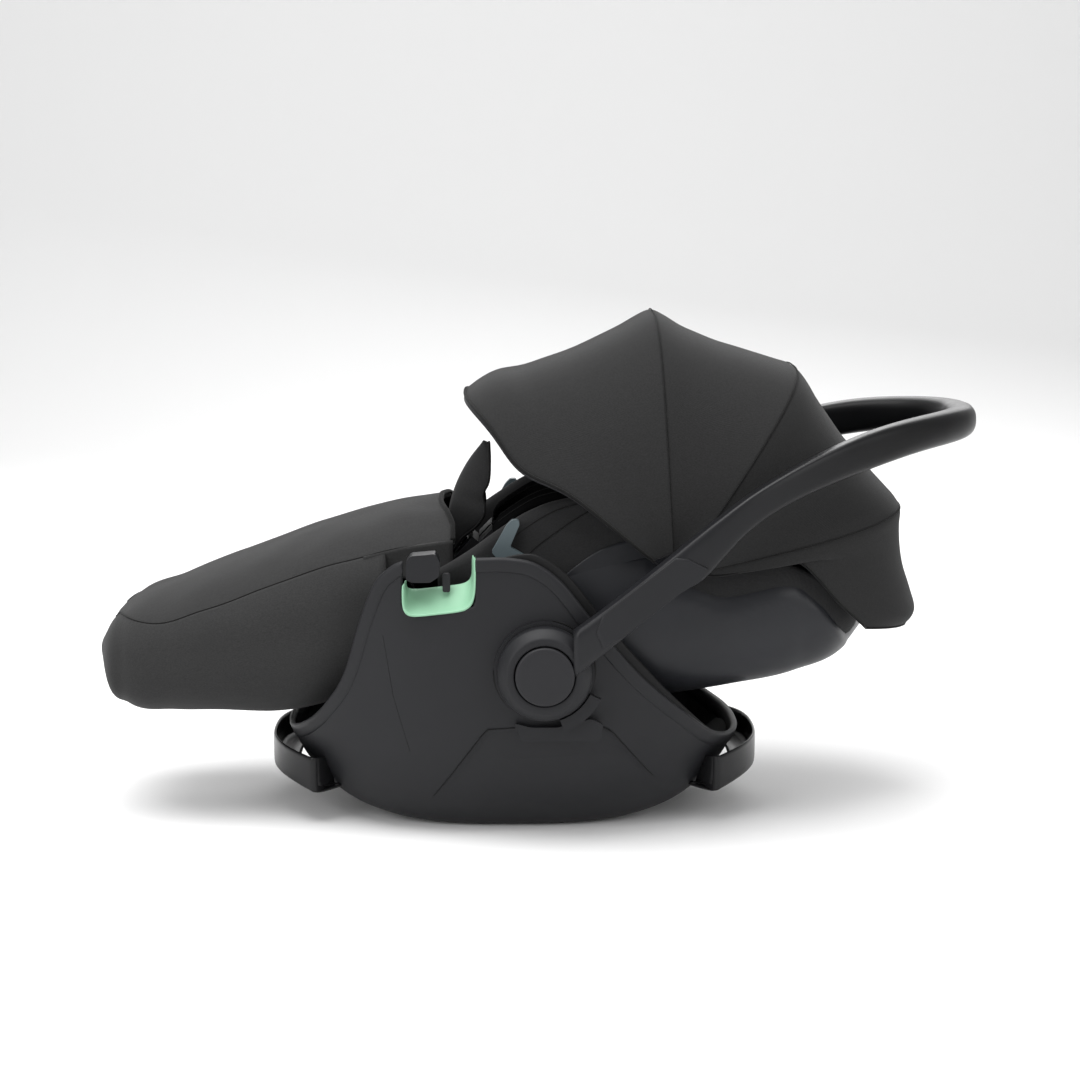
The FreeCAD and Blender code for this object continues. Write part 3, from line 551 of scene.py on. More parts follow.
def end_band(label, direction):
    """U of thin plastic round one end, with a rolled upper edge and a ledge that joins it to the shell."""
    reach = SHELL_LONG * 0.93 + 25
    wide = SHELL_WIDE * 0.93
    sweep = np.linspace(-1, 1, 90) * BAND_SWEEP
    profile = ((-26, 38), (-2, 36.4), (0, 36), (1.4, 36.6), (1.7, 40), (1.9, 62), (1.5, 65), (0.3, 66.2),
               (-1.2, 65), (-1.5, 62), (-1.5, 43), (-3, 41), (-26, 41))
    rows = []
    for out, height in profile:
        x = SHELL_MIDDLE + direction * np.cos(sweep) ** (2 / SHELL_POWER) * (reach + out)
        y = rounded(np.sin(sweep), SHELL_POWER) * (wide + out)
        share = np.abs(sweep / BAND_SWEEP)
        dip = 7 * share**3 * (1.7 if height < 50 else 1)
        turned_in = np.clip((share - 0.9) / 0.1, 0, 1) ** 2
        x = x - direction * 7 * turned_in
        y = y - np.sign(y) * 30 * turned_in
        rows.append(np.stack([x, y, height + 5 - dip], 1))
    rows.append(rows[0])
    band = grid(label, rows, "band_plastic", "base")
    modifier(band, "SUBSURF", levels=1, render_levels=1)
    return band


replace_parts(end_band("band_leg_end", -1), "leg_end_band")
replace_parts(end_band("band_head_end", 1), "head_end_band")


# ---------------------------------------------------------------- hubs
def turned(name, profile, material, body, side):
    """A piece turned about the hub axis; profile is (distance from the middle plane, radius)."""
    count = 96
    angle = 2 * np.pi * np.arange(count) / count
    cosine, sine = np.cos(angle), np.sin(angle)
    rows = [np.stack([radius * cosine, np.full(count, side * across), HUB_HEIGHT + radius * sine], 1)
            for across, radius in profile]
    return grid(name, rows, material, body, closed=True, caps=True)


DISC_PROFILE = (
    (190.4, 8), (190.4, 42.2), (191, 43), (201.5, 43), (203.5, 42.3), (210, 35.8), (210.8, 34.8),
    (211.2, 33.6), (211.3, 29), (211.1, 28.2), (210.4, 27.8), (197, 27.7), (197, 8))
CAP_PROFILE = (
    (207, 4), (207, 26.9), (213.2, 26.9), (214.2, 26.6), (214.8, 25.8), (215.1, 24.4), (215.3, 18),
    (215.4, 9), (215.45, 1))
RECESS_PROFILE = (
    (176, 30), (176, 47.6), (182.0, 47.6), (182.6, 47.0), (182.6, 46.2), (181, 45.8), (181, 30))
for name, side in SIDES:
    disc = turned("hub_disc_" + name, DISC_PROFILE, "shell_plastic", "handle", side)
    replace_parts(disc, "handle_hub_" + name)
    cap = turned("hub_cap_" + name, CAP_PROFILE, "trim_plastic", "button_" + name, side)
    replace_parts(cap, "handle_button_" + name)
    # Near-black ring round the hub disc: painted shade of the recess round the hub.
    turned("hub_recess_" + name, RECESS_PROFILE, "joint_and_painted_shade_plastic", "base", side)


# ---------------------------------------------------------------- carry handle
HANDLE_TOP = line_through((
    (-10, 178), (68, 235), (111, 270), (155, 305), (183, 325), (221, 346), (266, 365), (313, 379),
    (364, 387), (405, 390), (440, 390)))
HANDLE_UNDER = line_through((
    (10, 148), (68, 195), (122, 239), (144, 252), (160, 269), (177, 287), (199, 304), (221, 316),
    (255, 329), (302, 342), (352, 353), (394, 358), (440, 361)))
HANDLE_PLAN = np.array((
    (26, 203), (60, 203), (120, 203), (165, 198), (205, 186), (250, 165), (293, 137), (330, 112),
    (358, 90), (380, 69), (396, 47), (405, 24), (408, 0)), float)


def make_handle():
    """One swept U with a rounded section that turns rounder at the grip."""
    half = resample(HANDLE_PLAN, 90)
    whole = np.concatenate([half * [1, -1], half[::-1][1:]])
    ahead = headings(whole)
    outward = np.stack([ahead[:, 1], -ahead[:, 0]], 1)
    grip = np.clip((whole[:, 0] - 250) / 120, 0, 1)
    rows = []
    for spot, out, round_share in zip(whole, outward, grip):
        thick = 11 + 4 * round_share
        power = 5 - 2.4 * round_share
        section = ring(1, 1, power, 48)
        points = []
        for across, up in section:
            x = spot[0] + out[0] * across * thick
            y = spot[1] + out[1] * across * thick
            top, under = HANDLE_TOP(x), HANDLE_UNDER(x)
            points.append((x, y, (top + under) / 2 + up * (top - under) / 2))
        rows.append(points)
    return grid("handle_loop", rows, "handle_plastic", "handle", closed=True, caps=True)


handle_loop = make_handle()
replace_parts(handle_loop, "carry_handle")


def make_insert(name, side):
    """Cover plate let into the outside of an arm."""
    outline = np.array((
        (46, 204), (52, 220), (118, 272), (128, 271), (147, 262), (140, 251), (122, 240), (70, 199),
        (52, 190)), float)
    middle = outline.mean(0)
    rows = []
    for shrink, proud in (
            (1.0, 213.2), (1.0, 214.6), (0.985, 215.0), (0.93, 215.05), (0.5, 215.05), (0.02, 215.05)):
        flat = middle + (outline - middle) * shrink
        rows.append(np.stack([flat[:, 0], np.full(len(flat), side * proud), flat[:, 1]], 1))
    return grid("arm_cover_" + name, rows, "shell_plastic", "handle", closed=True, caps=True)


for name, side in SIDES:
    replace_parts(make_insert(name, side), "handle_inserts")


# ---------------------------------------------------------------- canopy
PIVOT = np.array([120, 0, 245])
CLOTH_HALF, BOW_POWER, BOW_POINTS = 165, 3.0, 97

# Degrees round the pivot and reach of the hood's crown
CROWN = line_through((
    (-18, 247), (-15, 250.3), (-12, 249.8), (-8, 241.8), (-2, 231.2), (4, 227.6), (9, 229),
    (12, 231.6), (14, 230), (17, 224.2), (22, 215.8), (28, 210), (35, 206), (41, 207.1),
    (47, 210.8), (52, 217), (55.5, 219.9), (58.5, 216.8), (64, 212.7), (70, 210.5), (76, 210.5),
    (81, 214), (86, 220), (90, 229), (93, 234.7), (96, 230.8), (100, 224.3), (107, 218), (115, 216),
    (122, 220.3), (128, 227.5), (133, 239.5), (137, 245), (141, 248.6)))
FRONT, TOP, UPPER, REAR = 141, 93, 55.5, 12.5


def bow_line(degrees, reach, half=CLOTH_HALF, start=0.03, lean=0.0):
    """Points of the cloth at one bow angle, from the near side over to the far side.

    lean is how many degrees the line bends forward halfway down its sides.
    """
    sweep = np.linspace(start, np.pi - start, BOW_POINTS)
    across = -rounded(np.cos(sweep), BOW_POWER) * half
    out = np.abs(np.sin(sweep)) ** (2 / BOW_POWER)
    turn = np.radians(degrees + lean * np.exp(-(((out - 0.68) / 0.14) ** 2)))
    return np.stack([PIVOT[0] + out * reach * np.cos(turn), across, PIVOT[2] + out * reach * np.sin(turn)], 1)


def finish_cloth(item):
    """Two layers with a dark lining, then one subdivision."""
    item.data.materials.append(MATERIALS["lining"])
    modifier(item, "SOLIDIFY", thickness=0.0014, offset=-1.0, material_offset=1, material_offset_rim=0)
    modifier(item, "SUBSURF", levels=1, render_levels=1)
    apply_modifiers(item)
    return item


def cloth_panel(name, first, last, lean):
    """A gore of cloth pulled tight between two bows, hollow along its middle."""
    rows = []
    for share in np.linspace(0, 1, 33):
        angle = first + (last - first) * share
        hollow = 4 * share * (1 - share)
        bend = lean[0] + (lean[1] - lean[0]) * share
        rows.append(bow_line(angle, CROWN(angle), CLOTH_HALF - 3.5 * hollow, lean=bend))
    return finish_cloth(grid(name, rows, "canopy_fabric", None))


def cut_size(first, last):
    """Width and length of the rectangle that a gore is cut from, in metres."""
    reach = float(CROWN(first))
    line = bow_line(first, reach)
    length = float(np.linalg.norm(np.diff(line, axis=0), axis=1).sum())
    return length * MM, math.radians(first - last) * reach * MM


PANELS = (
    ("canopy_front", FRONT, TOP, (4, 0), "front_bow_body", "top_bow_body", "canopy_front_panel"),
    ("canopy_top", TOP, UPPER, (0, 0), "top_bow_body", "upper_bow_body", "canopy_top_panel"),
    ("canopy_back", UPPER, REAR, (0, 0), "upper_bow_body", "seat", "canopy_back_panel"),
)
for name, first, last, lean, body_a, body_b, node in PANELS:
    gore = cloth_panel(name, first, last, lean)
    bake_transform(gore)
    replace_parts(gore, node)
    cut_size(first, last)

# Near edge of the skirt: share along it, distance from the pivot, degrees round it
HEM_REACH = line_through((
    (0, 18), (0.08, 34), (0.16, 51), (0.32, 86), (0.42, 104), (0.55, 121), (0.66, 134), (0.84, 160),
    (1, 192)))
HEM_ANGLE = line_through((
    (0, 12.5), (0.08, 3), (0.16, 3.4), (0.32, 8.4), (0.42, 9.3), (0.55, 4.2), (0.66, -1.7),
    (0.84, -11), (1, -17)))


def make_skirt():
    """The last gore, from the rear bow down behind the head end, cut to a curved hem."""
    rows = []
    for share in np.linspace(0, 1, 41):
        crown_angle = REAR - (REAR + 15.5) * share
        reach = float(CROWN(crown_angle)) * (1 - 0.022 * max(0, (share - 0.86) / 0.14) ** 2)
        low = float(HEM_REACH(share)) / reach
        half = 163 - 9 * share
        power = 3 - 0.3 * share
        start = math.asin(low ** (power / 2))
        sweep = np.linspace(start, np.pi - start, BOW_POINTS)
        out = np.abs(np.sin(sweep)) ** (2 / power)
        across = -rounded(np.cos(sweep), power) * half
        drop = ((1 - out) / (1 - low)) ** 1.6
        turn = np.radians(crown_angle + (float(HEM_ANGLE(share)) - crown_angle) * drop)
        rows.append(np.stack([
            PIVOT[0] + out * reach * np.cos(turn), across, PIVOT[2] + out * reach * np.sin(turn)], 1))
    rows = np.array(rows)
    item = finish_cloth(grid("canopy_back_skirt", rows, "canopy_fabric", None))
    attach(item, "seat")
    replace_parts(item, "canopy_skirt")
    edge = np.concatenate([rows[:, 0], rows[-1], rows[::-1, -1]])
    tube("seam_hem", edge, 1.1, "piping", "seat")


make_skirt()

SEAMS = (
    ("front", FRONT, "front_bow_body", "front_bow", 1.5, 4), ("top", TOP, "top_bow_body", "top_bow", 0.6, 0),
    ("upper", UPPER, "upper_bow_body", "upper_bow", 0.6, 0), ("rear", REAR, "seat", "rear_bow", 0.6, 0),
)
for name, degrees, body, node, radius, lean in SEAMS:
    reach = float(CROWN(degrees))
    tube("seam_" + name, bow_line(degrees, reach + 0.3, CLOTH_HALF + 0.2, lean=lean), radius, "piping", body)
    hoop_rows = []
    for inset, turn in ((2.2, -1.1), (2.2, 1.1), (4.6, 1.1), (4.6, -1.1)):
        hoop_rows.append(bow_line(degrees + turn, reach - inset, CLOTH_HALF - inset, 0.012, lean))
    hoop_rows.append(hoop_rows[0])
    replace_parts(grid("hood_hoop_" + name, hoop_rows, "trim_plastic", body), node)


# ---------------------------------------------------------------- reclining shell
TUB_UNDER = line_through((
    (-150, 160), (-118, 136), (-70, 112), (-20, 102), (40, 102), (110, 112), (180, 123), (240, 135),
    (290, 156), (316, 182)))
TUB_HALF = line_through((
    (-150, 92), (-118, 97), (-70, 124), (-20, 138), (40, 146), (110, 149), (180, 147), (240, 138),
    (290, 112), (316, 66)))
TUB_RIM = line_through((
    (-160, 214), (-118, 222), (-70, 236), (-20, 246), (40, 252), (110, 262), (180, 268), (240, 254),
    (290, 222), (330, 196)))
TUB_LID, TUB_POWER = 300, 3.0
FLANK_DEPTH, BAND_DEPTH = 15, 6


def tub_rows(inset, drop, x0, x1, steps=90, across=80):
    """Cross-sections of the basin from rim to rim."""
    rows = []
    for x in np.linspace(x0, x1, steps):
        under = float(TUB_UNDER(x)) + inset
        middle, tall = (TUB_LID + under) / 2, (TUB_LID - under) / 2
        half = float(TUB_HALF(x)) - inset
        rim = float(TUB_RIM(x)) - drop
        lean = np.clip((rim - middle) / tall, -0.98, 0.98)
        rim_angle = math.asin(np.sign(lean) * abs(lean) ** (TUB_POWER / 2))
        sweep = np.linspace(-math.pi - rim_angle, rim_angle, across)
        y = rounded(np.cos(sweep), TUB_POWER) * half
        z = middle + rounded(np.sin(sweep), TUB_POWER) * tall
        rows.append(np.stack([np.full(across, x), y, z], 1))
    return np.array(rows)


def recessed(points):
    """The basin's outside with its hollow upper flank and the sunk band at the head end."""
    x, y, z = points[..., 0], points[..., 1], points[..., 2]
    crease = line_through((
        (100, 224), (136, 219), (172, 212), (197, 216.5), (224, 221), (237, 219), (252, 208),
        (270, 190), (300, 160)))(x)
    flank = np.clip((z - crease) / 34, 0, 1)
    flank = smooth_step(flank) * np.clip((x - 95) / 60, 0, 1) * np.clip((300 - x) / 30, 0, 1)
    beyond = (x - 243.7) * 0.86 + (z - 241.9) * 0.51
    band = smooth_step(np.clip(beyond / 6, 0, 1)) * np.clip((322 - x) / 12, 0, 1)
    moved = points.copy()
    depth = FLANK_DEPTH * flank + BAND_DEPTH * band
    moved[..., 1] -= np.sign(y) * depth * np.clip(np.abs(y) / 60, 0, 1)
    return moved


def make_basin():
    """The reclining shell with its creased head end."""
    shell = grid("basin_shell", recessed(tub_rows(0, 0, -150, 316, 210, 170)), "inner_plastic", "seat")
    modifier(shell, "SOLIDIFY", thickness=0.003, offset=-1)
    return shell


basin_shell = make_basin()


def end_wall(name, x, lean):
    """Closes one end of the basin below its rim."""
    rows = tub_rows(0, 0, x, x + 0.01, steps=2, across=170)[0]
    rows = recessed(rows)
    middle = np.array([x + lean, 0, rows[:, 2].mean()])
    layers = [rows * (1 - share) + middle * share for share in (0, 0.15, 0.35, 0.6, 0.98)]
    for depth, layer in zip((0, 0.55, 0.85, 1, 1), layers):
        layer[:, 0] = x + lean * depth
    item = grid(name, layers, "inner_plastic", "seat")
    modifier(item, "SOLIDIFY", thickness=0.003, offset=0)


end_wall("basin_end_head", 316, 3)
end_wall("basin_end_leg", -150, -2)
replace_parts(basin_shell, "inner_shell")

lining_rows = tub_rows(4, 6, -144, 308)
liner = grid("seat_lining", lining_rows, "seat_fabric", "seat")
modifier(liner, "SOLIDIFY", thickness=0.010, offset=-1)
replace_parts(liner, "foam_liner", "seat_cover")


# ---------------------------------------------------------------- side wings of the seat
WING_TOP = line_through((
    (-100, 246), (-86, 254), (-67, 266), (-41, 284), (-17, 299), (6, 309), (30, 314), (60, 314),
    (100, 304), (130, 286)))
WING_LINE = line_through(((10, 236), (20, 244), (27, 250), (50, 266), (76, 275.6), (100, 281), (130, 284)))
WING_HALF = 138.2


def wing_point(x, height, side):
    """Outer face of a wing at a side point: it leans in towards its top."""
    return side * (WING_HALF - 0.1 * np.clip(height - 250, 0, 60) - 3.2 * np.clip((x - 70) / 60, 0, 1))


def make_wing(name, side):
    """Padded cloth wing that stands above the rim beside the child."""
    rows = []
    for x in np.linspace(-98, 128, 90):
        top = float(WING_TOP(x))
        low = min(float(TUB_RIM(x)) - 22, top - 12)
        heights = np.linspace(low, top - 6, 26)
        outer = [(x, wing_point(x, z, side), z) for z in heights]
        crown = wing_point(x, top, side)
        over = [(x, crown - side * 6 * (1 - math.cos(turn)), top - 6 + 6 * math.sin(turn))
                for turn in np.linspace(0.25, 2.9, 9)]
        inner = [(x, crown - side * (12.5 + 2 * drop), top - 6 - (top - 6 - low) * drop)
                 for drop in np.linspace(0.05, 1, 10)]
        rows.append(outer + over + inner)
    wing = grid("seat_wing_" + name, ripple(np.array(rows), 38, 1.0), "seat_fabric", "seat")
    modifier(wing, "SOLIDIFY", thickness=0.003, offset=0)
    rows = []
    for x in np.linspace(12, 128, 60):
        top = float(WING_LINE(x))
        heights = np.linspace(min(float(TUB_RIM(x)) - 24, top - 6), top, 16)
        rows.append([(x, wing_point(x, z, side) + side * 1.6, z) for z in heights])
    rim = grid("wing_plate_" + name, rows, "inner_plastic", "seat")
    modifier(rim, "SOLIDIFY", thickness=0.0018, offset=0)
    for label, line in (
            ("fold", ((-46, 262), (-20, 285), (10, 303), (40, 312))),
            ("seam", ((-15, 262), (-7, 270), (7, 280.4), (46, 305.5), (58, 312)))):
        path = resample(line, 50)
        across = wing_point(path[:, 0], path[:, 1], side) + side * 1.3
        spots = np.stack([path[:, 0], across, path[:, 1]], 1)
        tube("wing_%s_%s" % (label, name), spots, 0.7, "piping", "seat", 6)


for name, side in SIDES:
    make_wing(name, side)


# ---------------------------------------------------------------- padding
PAD_PRESSURE, PAD_FRAMES = 4.0, 20
PAD_START = 2.5  # how far a pad starts inside its CAD solid, in millimetres


def soften(item, voxel, cap):
    """Fill a pad by a short cloth simulation with inner pressure, then bake it."""
    modifier(item, "REMESH", mode="VOXEL", voxel_size=voxel * MM)
    apply_modifiers(item)
    count = len(item.data.vertices)
    before = np.empty(count * 3)
    item.data.vertices.foreach_get("co", before)
    cloth = modifier(item, "CLOTH")
    cloth.settings.quality = 5
    cloth.settings.mass = 0.25
    cloth.settings.tension_stiffness = 12
    cloth.settings.compression_stiffness = 6
    cloth.settings.bending_stiffness = 1.2
    cloth.settings.use_pressure = True
    cloth.settings.uniform_pressure_force = PAD_PRESSURE
    cloth.settings.effector_weights.gravity = 0
    cloth.point_cache.frame_start, cloth.point_cache.frame_end = 1, PAD_FRAMES
    scene = bpy.context.scene
    for step in range(1, PAD_FRAMES + 1):
        scene.frame_set(step)
    apply_modifiers(item)
    after = np.empty(count * 3)
    item.data.vertices.foreach_get("co", after)
    move = (after - before).reshape(-1, 3)
    length = np.linalg.norm(move, axis=1)[:, None] + 1e-9
    move *= np.minimum(1, cap * MM / length)
    item.data.vertices.foreach_set("co", (before.reshape(-1, 3) + move).ravel())
    scene.frame_set(1)
    modifier(item, "SUBSURF", levels=1, render_levels=1)
    apply_modifiers(item)
    item.data.polygons.foreach_set("use_smooth", [True] * len(item.data.polygons))


def pad_from_node(node, name, body, voxel, cap):
    """A stuffed pad that starts as a slightly smaller copy of its CAD solid."""
    item = bpy.data.objects.new(name, NODES[node].data.copy())
    bpy.context.scene.collection.objects.link(item)
    low, high = (Vector(corner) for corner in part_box(node))
    middle = (low + high) / 2
    span = high - low
    for vertex in item.data.vertices:
        for axis in range(3):
            shrink = 1 - 2 * PAD_START * MM / span[axis]
            vertex.co[axis] = middle[axis] + (vertex.co[axis] - middle[axis]) * shrink
    soften(item, voxel, cap)
    dress(item, "seat_fabric")
    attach(item, body)
    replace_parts(item, node)


pad_from_node("back_pad", "back_cushion", "seat", voxel=5.0, cap=6)
pad_from_node("bottom_pad", "seat_cushion", "seat", voxel=5.0, cap=6)
pad_from_node("headrest_pad", "head_cushion", "headrest", voxel=4.0, cap=5)


# ---------------------------------------------------------------- crotch pad
def make_crotch_pad():
    """Upright petal with a narrow waist near its top and a piped edge."""
    spine = resample(((-92, 249), (-87, 276), (-79, 306), (-65, 335), (-53, 352)), 40)
    along = headings(spine)
    back = np.stack([along[:, 1], -along[:, 0]], 1) * 0.75 + np.array([0.25, 0])
    half = line_through((
        (0, 14), (0.12, 20), (0.28, 31), (0.4, 34), (0.5, 31), (0.6, 30), (0.8, 29), (0.92, 20),
        (0.975, 14), (1, 6)))
    wrap = line_through((
        (0, 8), (0.1, 12), (0.25, 24), (0.38, 29), (0.5, 26), (0.55, 23), (0.7, 22), (0.85, 15),
        (1, 3)))
    rows, edge = [], []
    for index, share in enumerate(np.linspace(0, 1, len(spine))):
        width = float(half(share))
        section = ring(width, 5.5 * (0.55 + 0.45 * math.sin(math.pi * min(max(share, 0.06), 0.94))), 2.6, 40)
        curl = float(wrap(share)) * (np.abs(section[:, 0]) / width) ** 1.7
        rows.append(np.stack([
            spine[index, 0] + back[index, 0] * (section[:, 1] + curl), section[:, 0],
            spine[index, 1] + back[index, 1] * (section[:, 1] + curl)], 1))
        curled = float(wrap(share))
        rim = spine[index] + back[index] * curled
        edge.append((rim[0], width + 0.4, rim[1]))
    pad = grid("crotch_petal", rows, "seat_fabric", "seat", closed=True, caps=True)
    edge = np.array(edge)
    loop = np.concatenate([edge * [1, -1, 1], edge[::-1]])
    tube("crotch_piping", resample(loop, 120), 1.3, "piping", "seat")
    return pad


crotch_petal = make_crotch_pad()
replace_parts(crotch_petal, "crotch_pad")


# ---------------------------------------------------------------- footmuff
MUFF_LOW = line_through((
    (-425, 148), (-416, 119), (-396, 103), (-350, 98), (-290, 96), (-235, 96), (-190, 108),
    (-150, 120), (-99, 140)))
MUFF_HIGH = line_through((
    (-425, 166), (-416, 183), (-396, 200), (-350, 219), (-290, 243), (-235, 264), (-190, 279),
    (-150, 290), (-99, 298)))
MUFF_HALF = line_through((
    (-425, 44), (-416, 82), (-396, 106), (-350, 119), (-290, 124), (-235, 125), (-190, 125),
    (-150, 126), (-99, 127)))
SEAM = line_through((
    (-440, 190), (-396, 193), (-357, 194), (-319, 206), (-263, 227), (-207, 246), (-152, 261), (-80, 276)))
TRAY_END, MUFF_POWER, MUFF_RIPPLE = -168, 2.8, (44, 2.4)
# Where the open end starts to reach further up, over what run, and by how much
END_START, END_RUN, END_REACH = -132, 36, 13


def muff_surface(x, share, below):
    """Point of the muff skin; share runs from the near seam round to the far seam."""
    low, high, half = MUFF_LOW(x), MUFF_HIGH(x), MUFF_HALF(x)
    middle, tall = (low + high) / 2, (high - low) / 2
    lift = np.clip((SEAM(x) - middle) / tall, -0.97, 0.97)
    seam_angle = np.arcsin(np.sign(lift) * np.abs(lift) ** 1.4)
    if below:
        angle = (-np.pi - seam_angle) + share * (np.pi + 2 * seam_angle)
    else:
        angle = (np.pi - seam_angle) * (1 - share) + seam_angle * share
    y = rounded(np.cos(angle), MUFF_POWER) * half
    z = middle + rounded(np.sin(angle), MUFF_POWER) * tall
    return np.stack([np.broadcast_to(x, y.shape), y, z], -1)


def bend_at_knees(item):
    """Bake a muff piece's transform into its mesh."""
    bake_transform(item)


def muff_end(points):
    """Curve the open end: it reaches further up the child's body at the sides."""
    moved = points.copy()
    share = np.clip((points[..., 0] - END_START) / END_RUN, 0, 1)
    moved[..., 0] += END_REACH * share * np.clip((np.abs(points[..., 1]) - 20) / 70, 0, 1) ** 1.5
    return moved


def make_muff(name, xs, below, nose=()):
    """A padded skin over a run of cross-sections, with its thickness inwards."""
    share = np.linspace(0, 1, 96)
    rows = [muff_surface(x, share, below) for x in xs]
    first = rows[0]
    middle = first.mean(0)
    for scale, step in nose:
        rows.insert(0, middle + (first - middle) * scale + np.array([step, 0, 0]))
    rows = muff_end(ripple(np.array(rows), *MUFF_RIPPLE))
    item = grid(name, rows, "muff_fabric", None)
    item.data.materials.append(MATERIALS["lining"])
    modifier(item, "SOLIDIFY", thickness=0.006, offset=-1, material_offset=1, material_offset_rim=0)
    apply_modifiers(item)
    return item


MUFF_XS = -425 + 277 * np.linspace(0, 1, 68) ** 1.4
muff_tray = make_muff("muff_tray", MUFF_XS, True, ((0.94, -0.4), (0.7, -0.7), (0.35, -0.8), (0.02, -0.8)))
bend_at_knees(muff_tray)
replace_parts(muff_tray, "footmuff_body")

cover_xs = np.concatenate([-412 + 14 * np.linspace(0, 1, 8) ** 1.3, np.linspace(-396, -96, 62)])
muff_cover = make_muff("muff_cover", cover_xs, False)
bend_at_knees(muff_cover)
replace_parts(muff_cover, "footmuff_cover")

for name, side in SIDES:
    flap_rows = []
    for x in np.linspace(TRAY_END, -97, 22):
        seam_spot = muff_surface(np.array([x]), np.array([0.0 if side > 0 else 1.0]), False)[0]
        drop = np.linspace(0, 1, 12)
        reach = x + END_REACH * min(1, max(0, (x - END_START) / END_RUN))
        hem = 232 + (x - TRAY_END) * 0.12
        flap_rows.append(np.stack([
            np.full(12, reach), seam_spot[1] + side * 1.5 * np.sin(drop * np.pi),
            seam_spot[2] + (hem - seam_spot[2]) * drop], 1))
    flap = grid("muff_flap_" + name, flap_rows, "muff_fabric", None)
    modifier(flap, "SOLIDIFY", thickness=0.004, offset=0)
    apply_modifiers(flap)
    bend_at_knees(flap)

SEAM_XS = np.concatenate([-411 + 15 * np.linspace(0, 1, 10), np.linspace(-394, -98, 70)])
for name, share in (("right", 0.0), ("left", 1.0)):
    line = np.array([muff_surface(np.array([x]), np.array([share]), False)[0] for x in SEAM_XS])
    line = muff_end(ripple(line, *MUFF_RIPPLE)) + np.array([0, -0.5 if share else 0.5, 0])
    seam_bead = tube("muff_seam_" + name, line, 0.9, "piping", None)
    bend_at_knees(seam_bead)
hem_line = muff_end(ripple(muff_surface(-97, np.linspace(0, 1, 90), False), *MUFF_RIPPLE))
tube("muff_hem", hem_line, 2.6, "piping", "seat")


def make_tag():
    """A plain folded tag sewn into the seam."""
    rows = []
    for x in np.linspace(-224, -202, 14):
        seam_spot = muff_surface(np.array([x]), np.array([1.0]), False)[0]
        curl = 1.2 * math.sin((x + 224) / 22 * math.pi)
        drop = np.linspace(0, 1, 6)
        rows.append(np.stack([np.full(6, x) + drop * 1.5, seam_spot[1] - 1.0 - curl * drop,
                              seam_spot[2] - 9.5 * drop], 1))
    item = grid("muff_label", rows, "webbing", "leg_rest")
    modifier(item, "SOLIDIFY", thickness=0.0008, offset=0)
    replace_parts(item, "muff_tag")


make_tag()


# ---------------------------------------------------------------- belt guides
def make_guide(name, side):
    """A scooped tray let into the rim: lip, hollow floor and raised right wall."""
    left, right, squareness = -130.0, -62.0, 0.36
    rows = []
    spots = np.linspace(0, 1, 56)
    for reach, lift, inset in (
            (180.6, -0.8, 0), (182.4, 0.0, 0.2), (182.8, 1.0, 1.0), (182.2, 2.0, 1.9), (180.4, 2.4, 2.5),
            (177, 3.2, 3.0), (172, 5.6, 3.3), (166, 10.0, 3.6), (160, 15.6, 4.0), (154.4, 22, 4.4)):
        across = 2 * spots - 1
        turn = across * math.pi / 2
        width = right - left - 2 * inset
        x = (left + right) / 2 + np.sign(turn) * np.abs(np.sin(turn)) ** squareness * width / 2
        share = (x - left) / (right - left)
        top = 243 + 27 * share**2
        low = 211.5 + 7.5 * share
        z = top - (top - low - lift) * np.abs(np.cos(turn)) ** squareness
        depth = np.full(len(spots), side * reach)
        rows.append(np.stack([x, depth, z], 1))
    item = grid("belt_scoop_" + name, rows, "mint_plastic", "base")
    modifier(item, "SOLIDIFY", thickness=0.0022, offset=-1 if side < 0 else 1)
    modifier(item, "SUBSURF", levels=1, render_levels=1)
    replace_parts(item, "belt_guide_" + name)


for name, side in SIDES:
    make_guide(name, side)


NOTCH_EDGE = ((-129.2, 222), (-127, 216), (-122, 213.5), (-71, 220), (-65, 222.5), (-62.8, 228))


def cut_notches():
    """Open the rim over each belt guide."""
    rows = []
    for side in (-1, 1):
        near, far = sorted((side * 148, side * 190))
        cutter = grid("notch_cutter", [
            [(x, y, z) for y, z in ((near, low), (far, low), (far, 300), (near, 300))]
            for x, low in NOTCH_EDGE],
            "shell_plastic", "base", closed=True, caps=True)
        rows.append(cutter)
    for target in (shell_body, shell_rim):
        for cutter in rows:
            modifier(target, "BOOLEAN", operation="DIFFERENCE", object=cutter, solver="EXACT")
        apply_modifiers(target)
        target.data.polygons.foreach_set("use_smooth", [True] * len(target.data.polygons))
    for cutter in rows:
        bpy.data.objects.remove(cutter)


cut_notches()


# ---------------------------------------------------------------- harness
STRAP_PATH = ((-46.4, 271.4), (-24, 288), (2, 302), (32, 305), (62, 288), (80, 250), (84, 215), (84, 176))
STRAP_APART = 44


def strap(name, path, y0, y1, thick, node):
    """A flat woven tape along a side line, with rolled edges."""
    line = resample(path, 60)
    along = headings(line)
    normal = np.stack([-along[:, 1], along[:, 0]], 1) * thick / 2
    rows = []
    for spot, out in zip(line, normal):
        upper = [(spot[0] + out[0], y, spot[1] + out[1]) for y in np.linspace(y0 + 0.4, y1 - 0.4, 7)]
        lower = [(spot[0] - out[0], y, spot[1] - out[1]) for y in np.linspace(y1 - 0.4, y0 + 0.4, 7)]
        rows.append(upper + [(spot[0], y1, spot[1])] + lower + [(spot[0], y0, spot[1])])
    item = grid(name, rows, "webbing", "seat", closed=True, caps=True)
    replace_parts(item, node)


